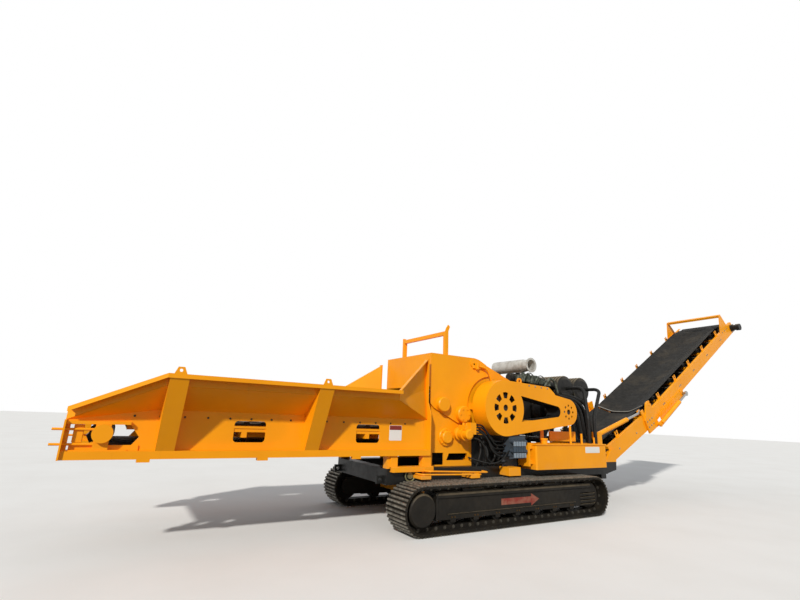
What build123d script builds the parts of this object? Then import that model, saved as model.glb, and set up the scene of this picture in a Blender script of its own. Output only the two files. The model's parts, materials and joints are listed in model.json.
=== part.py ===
from build123d import *
from math import cos, pi, radians, sin
import os

os.makedirs("parts", exist_ok=True)

# Tracked horizontal grinder, in millimetres. +X runs from the hopper's tail to the conveyor's head,
# +Z is up, and Y = 0 is the middle plane. The right side, towards -Y, carries the belt guard.
# The origin is on the ground under the middle of the machine's length.

# Undercarriage
track_x = -1768
track_gauge = 2100
shoe_width = 450
track_height = 610
track_thickness = 90
wheel_spacing = 3460
seat_gap = 0.3
plate = 20
shoe_count = 60
grouser_height = 24
shoe_step = 8
link_radius = 262
link_width = 180

track_wheel_radius = track_height / 2 - track_thickness - seat_gap
track_wheel_z = track_height / 2
sprocket_x = track_x - wheel_spacing / 2
idler_x = track_x + wheel_spacing / 2
sprocket_width = 60
drive_cover_radius = 205
drive_cover_bevel = 22
drive_cover_reach = 195
drive_motor_radius = 120
idler_width = 120
idler_hub_radius = 70
axle_radius = 30

track_frame_half = 130
track_frame_top = 500
track_frame_bottom = 165
track_frame_rear_x = sprocket_x + track_wheel_radius + 20
track_frame_fork_x = idler_x - track_wheel_radius - 30
rest_length = 150
frame_slot_zs = [195 + 52 * i for i in range(4)]
frame_slot_length = 380
frame_end_reach = 120
rest_xs = [track_x + dx for dx in (-900, 0, 900)]
roller_radius = 80
roller_width = 180
roller_bracket = 90
roller_count = 7
roller_pitch = 400
roller_z = track_thickness + seat_gap + roller_radius

# Chassis beams
cross_beam_dx = 1000
cross_beam_width = 260
cross_beam_bottom = 270
cross_beam_top = 480
beam_bottom = 560
beam_top = 760
beam_inner_y = 600
beam_outer_y = 780
beam_front_x = track_x - 2020
beam_rear_x = track_x + 2800
post_width = 160
lug_reach = 50
lug_thickness = 30
lug_hole_radius = 25

# Feed hopper: a vertical lower wall, a flared upper wall and a rail with a turned-down lip
sheet = 10
hopper_tail_x = track_x - 5610
hopper_corner_x = track_x - 4830
hopper_bend_x = track_x - 2060
hopper_front_x = track_x - 1350
sill_bottom = 930
sill_top = 1010
sill_outer_y = 830
wall_y = 750
wall_middle = wall_y - sheet / 2
crease_z = 1420
flare_y = 1100
flare_z = 1660
rail_top = 1780
rail_reach = 100
lip_height = 45
tail_wall_top = 1300
rib_width = 180
rib_xs = [track_x + dx for dx in (-4720, -3120)]
window_height = 235
window_z = 1210
window_radius = 40
window_lengths = {track_x - 3860: 360, track_x - 2315: 350}
slot_bottom = 1020
slot_top = 1260
slot_middle = (slot_bottom + slot_top) / 2
slot_front_x = track_x - 4970
tail_flange = 15
tail_flange_y = 860
foot_xs = [track_x + dx for dx in (-4900, -3700, -2500)]
throat_y = 685
throat_top = 2300
throat_bend_z = 1850
flange_width = 70
wing_strip = 60
flange_thick = 15

# Feed floor: a slat chain round a head shaft and a tail shaft
chain_z = 1175
chain_outer = 145
chain_thickness = 45
chain_half_width = 600
slat_count = 46
slat_height = 22
head_x = track_x - 930
tail_x = track_x - 5290
chain_wheel_radius = chain_outer - chain_thickness - seat_gap
chain_wheel_width = 60
chain_wheel_ys = (-420, 0, 420)
chain_shaft_radius = 35
take_up_block = 130
take_up_cover_radius = 90
take_up_cover_reach = 110
screw_radius = 12
screw_reach = 90
floor_tube = 60
floor_tube_xs = [track_x + dx for dx in (-4720, -3920, -3120, -2320, -1520)]
slide_bar_width = 60
slide_bar_ys = (-520, -210, 210, 520)
floor_beam_width = 80

# Grinding housing: fixed plates below and behind, a pressure-roller box that swings up in front
fixed_plate_inner = 615
fixed_plate_outer = 635
moving_plate_inner = 650
moving_plate_outer = 665
housing_front_x = track_x - 1240
housing_foot_x = track_x - 1330
housing_rear_x = track_x + 620
housing_top = 2420
hinge_x = track_x - 400
hinge_z = 2330
hinge_pin_radius = 25
feed_roller_x = track_x - 1030
feed_roller_z = 1650
feed_roller_radius = 250
feed_roller_bar = 20
feed_roller_half = 595
feed_shaft_radius = 45
tie_x = track_x - 640
tie_z = 1520
tie_radius = 50
boss_reach = 85
feed_boss_radius = 110
tie_boss_radius = 125
front_plate_bottom = 1910
goal_x = track_x - 925
goal_post = 60
goal_bar_half = 640
goal_top = 2800
hinge_eye_radius = 60

# Rotor and belt drive
rotor_x = track_x - 20
rotor_z = 1645
rotor_drum_radius = 300
rotor_tip_radius = 410
rotor_half = 580
hammer_rows = 6
rotor_shaft_radius = 50
bearing_radius = 140
bearing_reach = 60
head_bearing_radius = 130
running_fit = 0.05
pulley_y = -850
pulley_width = 200
big_pulley_radius = 340
small_pulley_radius = 140
belt_thickness = 14
engine_x = track_x + 1490
engine_z = 1635
guard_front_y = -1000
guard_back_y = -700
guard_sheet = 8
guard_big_radius = 430
guard_small_radius = 220

# Engine bay
engine_half_length = 430
engine_y = (-380, 720)
engine_bottom = 1200
engine_top = 2160
clutch_radius = 210
mount_bottom = 1115
mount_top = 1165
muffler_radius = 125
muffler_x = track_x + 1400
muffler_y = (-280, 720)
muffler_z = 2500
filter_radius = 230
filter_z = 2120
filter_xs = [track_x + dx for dx in (2330, 2830)]
filter_half = 320
intake_radius = 70
intake_x = (track_x + 850, track_x + 1650)
intake_y = -210
stand_post = 60
stand_post_y = 330
tank_x = (track_x + 520, track_x + 2320)
tank_corner = 25
tank_posts = [(track_x + 1420, 300, 18), (track_x + 1710, 170, 18), (track_x + 2050, 110, 14)]
tank_z = (720, 1110)
tank_outer_y = 1100

# Discharge conveyor: a flat base under the rotor, a lower part that lifts, an upper part that folds
conveyor_outer_y = 700
channel_flange = 60
channel_web = 8
belt_half = 550
belt_sheet = 10
trough_half = 200
trough_rise = 150
lift_x = track_x + 3050
lift_z = 896
lower_slope = 25.5
lower_length = 1740
lower_half_depth = 160
upper_slope = 30
upper_length = 5250
upper_half_depth = 140
fold_pivot_h = 300
pivot_radius = 35
eye_outer = 55
eye_play = 4
rod_pin_gap = 6
drum_s = upper_length - 100
drum_run = 40
seam_gap = 30
drum_radius = 130
belt_h = 80
idler_radius = 50
return_h = -90
return_radius = 30
upper_idler_s = [600, 1510, 2350, 3260, 4260]
lower_idler_s = [450, lower_length - 510]
idler_shaft_radius = 12
cradle_top = 268
cradle_notch = 66
idler_shaft_reach = 480
short_shaft_reach = 400
head_goal_top = 540
base_belt_top = 900
base_drum_radius = 120
base_rear_x = track_x + 2930
base_front_x = track_x - 560
base_plate_outer = 590
base_plate_inner = 570
cylinder_radius = 45
rod_radius = 25
lift_cylinder_y = 660
ear_reach = 70
lift_base = (track_x + 2710, 1245)
lift_eye = (lower_length - 290, 230)
lift_barrel_length = 1080
fold_cylinder_y = 800
fold_base = (lower_length + 60, -180)
fold_eye = (1460, -175)
fold_eye_plate_y = conveyor_outer_y + 20
fold_barrel_length = 1000


# Plates and bars given by their outline and limits
def slab(outline, y_from, y_to, plane=Plane.XZ, mode=Mode.ADD):
    """A plate along the machine: its outline in the plane, its two faces at y_from and y_to."""
    with BuildSketch(plane.offset(-y_from)) as face:
        with BuildLine():
            Polyline(*outline, close=True)
        make_face()
    return extrude(face.sketch, amount=y_from - y_to, mode=mode)


def cross(outline, x_from, x_to, mode=Mode.ADD):
    """A plate or bar across the machine: its outline in Y and Z, its faces at x_from and x_to."""
    with BuildSketch(Plane.YZ.offset(x_from)) as face:
        with BuildLine():
            Polyline(*outline, close=True)
        make_face()
    return extrude(face.sketch, amount=x_to - x_from, mode=mode)


def block(x, y, z, mode=Mode.ADD):
    """A box from its low and high limits along each axis."""
    with Locations(((x[0] + x[1]) / 2, (y[0] + y[1]) / 2, (z[0] + z[1]) / 2)):
        return Box(abs(x[1] - x[0]), abs(y[1] - y[0]), abs(z[1] - z[0]), mode=mode)


def disc(centre, radius, y_from, y_to, plane=Plane.XZ, mode=Mode.ADD):
    """A round bar or hole across the machine, centred in the plane."""
    with BuildSketch(plane.offset(-y_from)) as face:
        with Locations(centre):
            Circle(radius)
    return extrude(face.sketch, amount=y_from - y_to, mode=mode)


def bar(start, end, radius, mode=Mode.ADD):
    """A round bar between two points."""
    run = Vector(*end) - Vector(*start)
    with BuildSketch(Plane(origin=start, z_dir=run)) as face:
        Circle(radius)
    return extrude(face.sketch, amount=run.length, mode=mode)


def panel(*corners):
    """A flat sheet between its corners, with half its thickness on each side of them."""
    return extrude(Face(Wire.make_polygon(corners, close=True)), amount=sheet / 2, both=True)


def turned(centre, profile, mode=Mode.ADD):
    """A round piece across the machine: its half section, as pairs of Y and radius, turned about its axis."""
    with BuildSketch(Plane(origin=(centre[0], 0, centre[1]), x_dir=(0, 1, 0), z_dir=(1, 0, 0))) as half:
        with BuildLine():
            Polyline((profile[0][0], 0), *profile, (profile[-1][0], 0), close=True)
        make_face()
    return revolve(half.sketch, axis=Axis((centre[0], 0, centre[1]), (0, 1, 0)), mode=mode)


def rectangle(x, z):
    """The four corners of a rectangle from its limits."""
    return [(x[0], z[0]), (x[1], z[0]), (x[1], z[1]), (x[0], z[1])]


def loop_point(s, radius, ends, z, pitch_radius):
    """The point at a distance s along a loop round two wheels and at a radius from their centres."""
    run = ends[1] - ends[0]
    turn = pi * pitch_radius
    s = s % (2 * (run + turn))
    if s < run:
        return (ends[0] + s, z - radius)
    if s < run + turn:
        angle = (s - run) / pitch_radius - pi / 2
        return (ends[1] + radius * cos(angle), z + radius * sin(angle))
    if s < 2 * run + turn:
        return (ends[1] - (s - run - turn), z + radius)
    angle = (s - 2 * run - turn) / pitch_radius + pi / 2
    return (ends[0] + radius * cos(angle), z + radius * sin(angle))


def loop_outline(count, profile, ends, z, pitch_radius):
    """A closed outline in which each of count equal pitches repeats a profile of (share, radius)."""
    pitch = 2 * (ends[1] - ends[0] + pi * pitch_radius) / count
    return [
        loop_point((i + share) * pitch, radius, ends, z, pitch_radius)
        for i in range(count)
        for share, radius in profile
    ]


# Tracks, one closed loop each: link rails inside, shoes with three grousers outside
track_outer = track_height / 2
shoe_profile = [
    (0.00, track_outer - grouser_height - shoe_step),
    (0.12, track_outer),
    (0.21, track_outer),
    (0.335, track_outer - grouser_height),
    (0.46, track_outer),
    (0.54, track_outer),
    (0.665, track_outer - grouser_height),
    (0.79, track_outer),
    (0.88, track_outer),
]
track_ends = (sprocket_x, idler_x)
track_y = track_gauge / 2
for side, name in ((-1, "right"), (1, "left")):
    with BuildPart() as track:
        with BuildSketch(Plane.XZ.offset(-side * track_y + shoe_width / 2)):
            with BuildLine():
                Polyline(
                    *loop_outline(shoe_count, shoe_profile, track_ends, track_wheel_z, link_radius),
                    close=True,
                )
            make_face()
            with Locations((track_x, track_wheel_z)):
                SlotCenterToCenter(wheel_spacing, 2 * link_radius, mode=Mode.SUBTRACT)
        extrude(amount=-shoe_width)
        with BuildSketch(Plane.XZ.offset(-side * track_y + link_width / 2)):
            with Locations((track_x, track_wheel_z)):
                SlotCenterToCenter(wheel_spacing, 2 * link_radius)
                SlotCenterToCenter(wheel_spacing, track_height - 2 * track_thickness, mode=Mode.SUBTRACT)
        extrude(amount=-link_width)
    track.part.label = f"track_{name}"
    export_step(track.part, f"parts/track_{name}.step")

# Track frames: a channel open below, forked round the idler, with the drive's plate behind
with BuildPart() as track_frames:
    frame_y = (-track_y - track_frame_half, -track_y + track_frame_half)
    inner_y = (frame_y[0] + plate, frame_y[1] - plate)
    slab(
        [
            (track_frame_rear_x, track_frame_bottom),
            (idler_x + 0.4 * frame_end_reach, track_frame_bottom),
            (idler_x + 0.9 * frame_end_reach, track_frame_bottom + 60),
            (idler_x + frame_end_reach, track_wheel_z),
            (idler_x + 0.9 * frame_end_reach, track_frame_top - 100),
            (idler_x + 0.4 * frame_end_reach, track_frame_top - 30),
            (idler_x - 60, track_frame_top),
            (track_frame_rear_x, track_frame_top),
        ],
        *frame_y,
    )
    block(
        (track_frame_rear_x + plate, idler_x + 2 * frame_end_reach),
        inner_y,
        (track_frame_bottom - 1, track_frame_top - plate),
        mode=Mode.SUBTRACT,
    )
    block(
        (track_frame_fork_x, idler_x + 2 * frame_end_reach),
        inner_y,
        (track_frame_top - 100, track_frame_top),
        mode=Mode.SUBTRACT,
    )
    slab(
        rectangle((sprocket_x, track_frame_rear_x), (track_wheel_z - 130, track_wheel_z + 130)),
        inner_y[1],
        frame_y[1],
    )
    disc((sprocket_x, track_wheel_z), 130, inner_y[1], frame_y[1])
    for z in frame_slot_zs:
        with BuildSketch(Plane.XZ.offset(-frame_y[0])) as slot:
            with Locations((idler_x + frame_end_reach - 50 - frame_slot_length / 2, z)):
                SlotOverall(frame_slot_length, 20)
        extrude(slot.sketch, amount=-plate, mode=Mode.SUBTRACT)
    cross(
        [
            (frame_y[0], track_frame_top - 80),
            (frame_y[0] - 20, track_frame_top - 66),
            (frame_y[0] - 20, track_frame_top - 34),
            (frame_y[0], track_frame_top - 4),
        ],
        track_frame_rear_x,
        idler_x - 60,
    )
    bar(
        (track_frame_rear_x + plate, frame_y[0], track_frame_bottom),
        (track_frame_rear_x + plate, frame_y[0], track_frame_top - 4),
        plate,
    )
    for x in rest_xs:
        block(
            (x - rest_length / 2, x + rest_length / 2),
            (frame_y[0] + plate, frame_y[1] - plate),
            (track_frame_top, track_height - track_thickness - seat_gap),
        )
    mirror(about=Plane.XZ)
track_frames.part.label = "track_frames"
export_step(track_frames.part, "parts/track_frames.step")

# Track wheels: sprockets with their drives, idlers on axles, and rollers hung from the frames
with BuildPart() as track_wheels:
    centre = (sprocket_x, track_wheel_z)
    disc(centre, track_wheel_radius, -track_y - sprocket_width / 2, -track_y + sprocket_width / 2)
    turned(
        centre,
        [
            (-track_y - drive_cover_reach, drive_cover_radius - drive_cover_bevel),
            (-track_y - drive_cover_reach + drive_cover_bevel, drive_cover_radius),
            (-track_y - sprocket_width / 2, drive_cover_radius),
        ],
    )
    disc(centre, drive_motor_radius, -track_y + sprocket_width / 2, inner_y[1])
    centre = (idler_x, track_wheel_z)
    turned(
        centre,
        [
            (-track_y - idler_width / 2, track_wheel_radius - 14),
            (-track_y - idler_width / 2 + 10, track_wheel_radius),
            (-track_y + idler_width / 2 - 10, track_wheel_radius),
            (-track_y + idler_width / 2, track_wheel_radius - 14),
        ],
    )
    disc(centre, idler_hub_radius, *inner_y)
    for i in range(roller_count):
        x = track_x + (i - (roller_count - 1) / 2) * roller_pitch
        disc((x, roller_z), roller_radius, -track_y - roller_width / 2, -track_y + roller_width / 2)
        disc((x, roller_z), axle_radius - 8, *inner_y)
        for y in (frame_y[0], frame_y[1] - plate):
            block(
                (x - roller_bracket / 2, x + roller_bracket / 2),
                (y, y + plate),
                (roller_z - axle_radius - 10, track_frame_bottom),
            )
    mirror(about=Plane.XZ)
track_wheels.part.label = "track_wheels"
export_step(track_wheels.part, "parts/track_wheels.step")

# Crossbeams between the track frames, with saddles for the chassis beams
with BuildPart() as undercarriage_beams:
    for dx in (-cross_beam_dx, cross_beam_dx):
        x = (track_x + dx - cross_beam_width / 2, track_x + dx + cross_beam_width / 2)
        block(
            x, (-track_y + track_frame_half, track_y - track_frame_half), (cross_beam_bottom, cross_beam_top)
        )
        for y in ((-beam_outer_y, -beam_inner_y), (beam_inner_y, beam_outer_y)):
            block(x, y, (cross_beam_top, beam_bottom))
undercarriage_beams.part.label = "undercarriage_beams"
export_step(undercarriage_beams.part, "parts/undercarriage_beams.step")

# Chassis: two lengthwise beams, cross members, hopper posts and the conveyor's pivot plates
pivot_plate_y = (conveyor_outer_y + 15, conveyor_outer_y + 55)
with BuildPart() as main_frame:
    block((beam_front_x, beam_rear_x), (-beam_outer_y, -beam_inner_y), (beam_bottom, beam_top))
    block(
        (beam_front_x, beam_front_x + post_width),
        (-beam_outer_y, -beam_outer_y + 100),
        (beam_top, sill_bottom),
    )
    slab(
        [
            (beam_rear_x, beam_bottom),
            (lift_x + 60, beam_bottom + 60),
            (lift_x + 90, lift_z),
            (lift_x + 60, lift_z + 90),
            (lift_x - 60, lift_z + 90),
            (beam_rear_x, beam_top),
        ],
        -pivot_plate_y[1],
        -pivot_plate_y[0],
    )
    disc(
        (lift_x, lift_z), pivot_radius + running_fit, -pivot_plate_y[1], -pivot_plate_y[0], mode=Mode.SUBTRACT
    )
    slab(
        rectangle((lift_base[0] - 60, lift_base[0] + 60), (beam_top, lift_base[1] - 70)),
        -lift_cylinder_y - ear_reach,
        -lift_cylinder_y + ear_reach,
    )
    for y in (-lift_cylinder_y - ear_reach, -lift_cylinder_y + ear_reach - plate):
        slab(
            rectangle((lift_base[0] - 60, lift_base[0] + 60), (lift_base[1] - 70, lift_base[1] + 60)),
            y,
            y + plate,
        )
    disc(lift_base, pivot_radius, -lift_cylinder_y - ear_reach, -lift_cylinder_y + ear_reach)
    # Lashing lugs at both ends
    for x, z, y in (
        (beam_front_x - lug_reach, beam_bottom + 60, -beam_inner_y - 100),
        (beam_rear_x - 130, beam_bottom - 80 - lug_reach, -500),
    ):
        block((x - lug_reach, x + lug_reach), (y, y + lug_thickness), (z - lug_reach, z + lug_reach))
        disc((x, z), lug_hole_radius, y, y + lug_thickness, mode=Mode.SUBTRACT)
    mirror(about=Plane.XZ)
    block((beam_front_x, beam_front_x + post_width), (-beam_inner_y, beam_inner_y), (beam_bottom, beam_top))
    # Cover panel below the belt guard, on the end of the engine's cross beam
    block((track_x + 1300, track_x + 2000), (-720, -700), (1130, 1300))
    block(
        (beam_rear_x - 200, beam_rear_x - 60), (-beam_outer_y, beam_outer_y), (beam_bottom - 80, beam_bottom)
    )
main_frame.part.label = "main_frame"
export_step(main_frame.part, "parts/main_frame.step")

# Hopper walls
rail_profile = [
    (0, 0),
    (0, rail_top - flare_z - sheet),
    (-rail_reach + sheet, rail_top - flare_z - sheet),
    (-rail_reach + sheet, rail_top - flare_z - lip_height),
    (-rail_reach, rail_top - flare_z - lip_height),
    (-rail_reach, rail_top - flare_z),
    (sheet, rail_top - flare_z),
    (sheet, 0),
]


def rail_section(y, z):
    """The rail's section, moved so that the foot of its web is at y and z."""
    return [(y + dy, z + dz) for dy, dz in rail_profile]


with BuildPart() as hopper_walls:
    # Lower wall with its windows and the take-up slot
    slab(
        [
            (hopper_tail_x, sill_top),
            (hopper_front_x, sill_top),
            (hopper_front_x, crease_z + sheet / 2),
            (hopper_corner_x, crease_z + sheet / 2),
            (hopper_tail_x, tail_wall_top + sheet / 2),
        ],
        -wall_y,
        -wall_y + sheet,
    )
    for x, length in window_lengths.items():
        with BuildSketch(Plane.XZ.offset(wall_y)) as opening:
            with Locations((x, window_z)):
                RectangleRounded(length, window_height, window_radius)
        extrude(opening.sketch, amount=-sheet, mode=Mode.SUBTRACT)
    slab(
        [
            (hopper_tail_x + tail_flange, slot_bottom),
            (slot_front_x - 90, slot_bottom),
            (slot_front_x, slot_middle),
            (slot_front_x - 90, slot_top),
            (hopper_tail_x + tail_flange, slot_top),
        ],
        -wall_y,
        -wall_y + sheet,
        mode=Mode.SUBTRACT,
    )
    # Sill
    cross(
        [
            (-sill_outer_y, sill_bottom),
            (-wall_y + 50, sill_bottom),
            (-wall_y + 50, sill_top),
            (-sill_outer_y, sill_top),
        ],
        hopper_tail_x,
        hopper_front_x,
    )
    # Flared wall, from the crease up to the rail, tapering away at the tail
    panel(
        (hopper_corner_x, -wall_middle, crease_z),
        (hopper_bend_x, -wall_middle, crease_z),
        (hopper_bend_x, -flare_y, flare_z),
        (hopper_corner_x, -flare_y, flare_z),
    )
    panel(
        (hopper_tail_x, -wall_middle, tail_wall_top),
        (hopper_corner_x, -wall_middle, crease_z),
        (hopper_corner_x, -flare_y, flare_z),
    )
    # Rail, level and then falling to the tail
    cross(rail_section(-flare_y, flare_z), hopper_corner_x, hopper_bend_x)
    with BuildSketch(Plane.YZ.offset(hopper_corner_x)) as rail_end:
        with BuildLine():
            Polyline(*rail_section(-flare_y, flare_z), close=True)
        make_face()
    fall = Vector(hopper_tail_x - hopper_corner_x, flare_y - wall_y, tail_wall_top - flare_z)
    extrude(rail_end.sketch, amount=fall.length, dir=fall)
    # Guide plates that turn in and up to the throat, folded along two lines
    panel(
        (hopper_bend_x, -wall_middle, crease_z),
        (hopper_front_x, -wall_middle, crease_z),
        (hopper_bend_x, -flare_y, flare_z),
    )
    panel(
        (hopper_front_x, -wall_middle, crease_z),
        (hopper_front_x, -throat_y, throat_bend_z),
        (hopper_bend_x, -flare_y, flare_z),
    )
    panel(
        (hopper_bend_x, -flare_y, flare_z),
        (hopper_front_x, -throat_y, throat_bend_z),
        (hopper_front_x, -throat_y, throat_top),
        (hopper_bend_x, -flare_y, rail_top),
    )
    panel(
        (hopper_bend_x - sheet, -flare_y, rail_top - sheet / 2),
        (hopper_front_x, -throat_y, throat_top - sheet / 2),
        (hopper_front_x, -throat_y - wing_strip, throat_top - sheet / 2),
        (hopper_bend_x - sheet, -flare_y - wing_strip, rail_top - sheet / 2),
    )
    # End flange at the throat
    cross(
        [
            (-sill_outer_y, sill_bottom),
            (-sill_outer_y, crease_z + 80),
            (-throat_y - flange_width, flare_z),
            (-throat_y - flange_width, throat_top + 20),
            (-throat_y + sheet, throat_top + 20),
            (-throat_y + sheet, throat_bend_z),
            (-wall_y + 50, crease_z),
            (-wall_y + 50, sill_bottom),
        ],
        hopper_front_x,
        hopper_front_x + flange_thick,
    )
    # Rib boxes, slanting out from the sill to the rail's lip
    for x in rib_xs:
        cross(
            [
                (-wall_y, sill_top),
                (-sill_outer_y, sill_top),
                (-flare_y - rail_reach + sheet, rail_top - lip_height),
                (-flare_y - rail_reach + sheet, rail_top - sheet),
                (-flare_y, rail_top - sheet),
                (-flare_y, flare_z),
                (-wall_y, crease_z),
            ],
            x - rib_width / 2,
            x + rib_width / 2,
        )
    # Tail flange and the guides above and below the slot
    block(
        (hopper_tail_x, hopper_tail_x + tail_flange),
        (-tail_flange_y, -wall_y),
        (sill_bottom, tail_wall_top),
    )
    for z in (slot_middle - 70, slot_middle + 70):
        bar(
            (hopper_tail_x, -wall_y - 30, z),
            (hopper_tail_x + tail_flange, -wall_y - 30, z),
            screw_radius + seat_gap,
            mode=Mode.SUBTRACT,
        )
    for z in ((slot_bottom - 12, slot_bottom), (slot_top, slot_top + 30)):
        block((hopper_tail_x + tail_flange, slot_front_x - 90), (-wall_y - 60, -wall_y), z)
    # Lengthwise bars in the windows, lifting ears on the ribs and feet under the sill
    for x, length in window_lengths.items():
        block((x - length / 2, x + length / 2), (-wall_y, -wall_y + sheet), (window_z + 35, window_z + 60))
    for x in rib_xs:
        ear_y = (-flare_y - rail_reach, -flare_y - rail_reach + 14)
        slab(
            [(x - 60, rail_top), (x + 60, rail_top), (x + 30, rail_top + 70), (x - 30, rail_top + 70)], *ear_y
        )
        disc((x, rail_top + 35), 16, *ear_y, mode=Mode.SUBTRACT)
    for x in foot_xs:
        block((x - 60, x + 60), (-sill_outer_y, -sill_outer_y + 60), (sill_bottom - 30, sill_bottom))
    mirror(about=Plane.XZ)
hopper_walls.part.label = "hopper_walls"
export_step(hopper_walls.part, "parts/hopper_walls.step")

# Floor members: tubes and slide bars inside the chain loop, beams between the sills, the tail's end beam
chain_inner = chain_outer - chain_thickness
with BuildPart() as hopper_floor:
    for x in floor_tube_xs:
        block(
            (x - floor_tube / 2, x + floor_tube / 2),
            (-wall_y + sheet, wall_y - sheet),
            (chain_z - floor_tube / 2, chain_z + floor_tube / 2),
        )
        block(
            (x - floor_beam_width / 2, x + floor_beam_width / 2),
            (-wall_y + 50, wall_y - 50),
            (sill_bottom, sill_top),
        )
    for y in slide_bar_ys:
        block(
            (tail_x + 2 * chain_inner, head_x - 2 * chain_inner),
            (y - slide_bar_width / 2, y + slide_bar_width / 2),
            (chain_z + floor_tube / 2, chain_z + chain_inner - seat_gap),
        )
    for y in (-wall_y + sheet, wall_y - sheet - 50):
        block((floor_tube_xs[0] - 30, floor_tube_xs[-1] + 30), (y, y + 50), (chain_z + 30, chain_z + 80))
hopper_floor.part.label = "hopper_floor"
export_step(hopper_floor.part, "parts/hopper_floor.step")

# Slat chain, one closed loop whose slats stand out of it
slat_profile = [
    (0.00, chain_outer - slat_height),
    (0.30, chain_outer - slat_height),
    (0.32, chain_outer),
    (0.62, chain_outer),
    (0.64, chain_outer - slat_height),
]
chain_ends = (tail_x, head_x)
with BuildPart() as feed_chain:
    with BuildSketch(Plane.XZ.offset(chain_half_width)):
        with BuildLine():
            Polyline(*loop_outline(slat_count, slat_profile, chain_ends, chain_z, chain_inner), close=True)
        make_face()
        with Locations(((head_x + tail_x) / 2, chain_z)):
            SlotCenterToCenter(head_x - tail_x, 2 * chain_inner, mode=Mode.SUBTRACT)
    extrude(amount=-2 * chain_half_width)
feed_chain.part.label = "feed_chain"
export_step(feed_chain.part, "parts/feed_chain.step")

# Head and tail shafts of the floor with their wheels
with BuildPart() as floor_shafts:
    disc((tail_x, chain_z), chain_shaft_radius, -wall_y - 60, wall_y + 60)
    disc((head_x, chain_z), chain_shaft_radius, -fixed_plate_outer, fixed_plate_outer)
    for x in (tail_x, head_x):
        for y in chain_wheel_ys:
            disc((x, chain_z), chain_wheel_radius, y - chain_wheel_width / 2, y + chain_wheel_width / 2)
floor_shafts.part.label = "floor_shafts"
export_step(floor_shafts.part, "parts/floor_shafts.step")

# Sliding bearings of the tail shaft, with covers and take-up screws
with BuildPart() as take_ups:
    block(
        (tail_x - take_up_block / 2, tail_x + take_up_block / 2),
        (-wall_y - 60, -wall_y - seat_gap),
        (slot_bottom + seat_gap, slot_top - seat_gap),
    )
    disc((tail_x, chain_z), chain_shaft_radius + running_fit, -wall_y - 60, -wall_y, mode=Mode.SUBTRACT)
    disc((tail_x, chain_z), take_up_cover_radius, -wall_y - take_up_cover_reach, -wall_y - 60)
    for z in (slot_middle - 70, slot_middle + 70):
        bar(
            (hopper_tail_x - screw_reach, -wall_y - 30, z),
            (tail_x - take_up_block / 2, -wall_y - 30, z),
            screw_radius,
        )
    mirror(about=Plane.XZ)
take_ups.part.label = "take_ups"
export_step(take_ups.part, "parts/take_ups.step")

# Fixed housing plates, with a window over the beam and an arched cut at the foot
with BuildPart() as housing_plates:
    slab(
        [
            (housing_foot_x, beam_top),
            (housing_foot_x, 1400),
            (housing_front_x, 1400),
            (housing_front_x, 1655),
            (housing_front_x + 60, 1630),
            (tie_x - 60, 1410),
            (tie_x + 120, 1410),
            (tie_x + 120, 2000),
            (hinge_x - 60, 2240),
            (hinge_x - 60, hinge_z + 60),
            (hinge_x + 120, housing_top - 20),
            (track_x + 470, 2110),
            (housing_rear_x, 1860),
            (housing_rear_x, beam_top),
        ],
        -fixed_plate_outer,
        -fixed_plate_inner,
    )
    slab(
        rectangle((track_x - 1170, track_x - 960), (beam_top + 20, 950)),
        -fixed_plate_outer,
        -fixed_plate_inner,
        mode=Mode.SUBTRACT,
    )
    slab(
        [
            (track_x - 910, beam_top + 80),
            (track_x - 480, beam_top + 80),
            (track_x - 510, beam_top + 180),
            (track_x - 860, beam_top + 180),
        ],
        -fixed_plate_outer,
        -fixed_plate_inner,
        mode=Mode.SUBTRACT,
    )
    disc(
        (hinge_x, hinge_z),
        hinge_pin_radius + running_fit,
        -fixed_plate_outer,
        -fixed_plate_inner,
        mode=Mode.SUBTRACT,
    )
    disc(
        (head_x, chain_z),
        chain_shaft_radius + running_fit,
        -fixed_plate_outer,
        -fixed_plate_inner,
        mode=Mode.SUBTRACT,
    )
    disc(
        (rotor_x, rotor_z), rotor_shaft_radius + 5, -fixed_plate_outer, -fixed_plate_inner, mode=Mode.SUBTRACT
    )
    mirror(about=Plane.XZ)
    # Rear cover, from the hinge down to the discharge
    with BuildSketch(Plane.XZ.offset(fixed_plate_inner)) as strip:
        with BuildLine():
            Polyline(
                (hinge_x + 120, housing_top - 20),
                (track_x + 470, 2110),
                (housing_rear_x, 1860),
                (housing_rear_x, 960),
            )
            offset(amount=12, side=Side.RIGHT)
        make_face()
    extrude(strip.sketch, amount=-2 * fixed_plate_inner)
housing_plates.part.label = "housing_plates"
export_step(housing_plates.part, "parts/housing_plates.step")

# Bearings and bosses on the fixed plates
with BuildPart() as housing_bearings:
    for x, z, radius, reach in (
        (rotor_x, rotor_z, bearing_radius, bearing_reach),
        (head_x, chain_z, head_bearing_radius, bearing_reach + 10),
    ):
        turned(
            (x, z),
            [
                (-fixed_plate_outer - reach, 0.62 * radius),
                (-fixed_plate_outer - reach + 12, 0.72 * radius),
                (-fixed_plate_outer - 0.45 * reach, 0.72 * radius),
                (-fixed_plate_outer - 0.45 * reach, radius - 8),
                (-fixed_plate_outer - 0.45 * reach + 8, radius),
                (-fixed_plate_outer, radius),
            ],
        )
    disc(
        (rotor_x, rotor_z),
        rotor_shaft_radius + running_fit,
        -fixed_plate_outer - bearing_reach,
        -fixed_plate_outer,
        mode=Mode.SUBTRACT,
    )
    mirror(about=Plane.XZ)
housing_bearings.part.label = "housing_bearings"
export_step(housing_bearings.part, "parts/housing_bearings.step")

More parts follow.
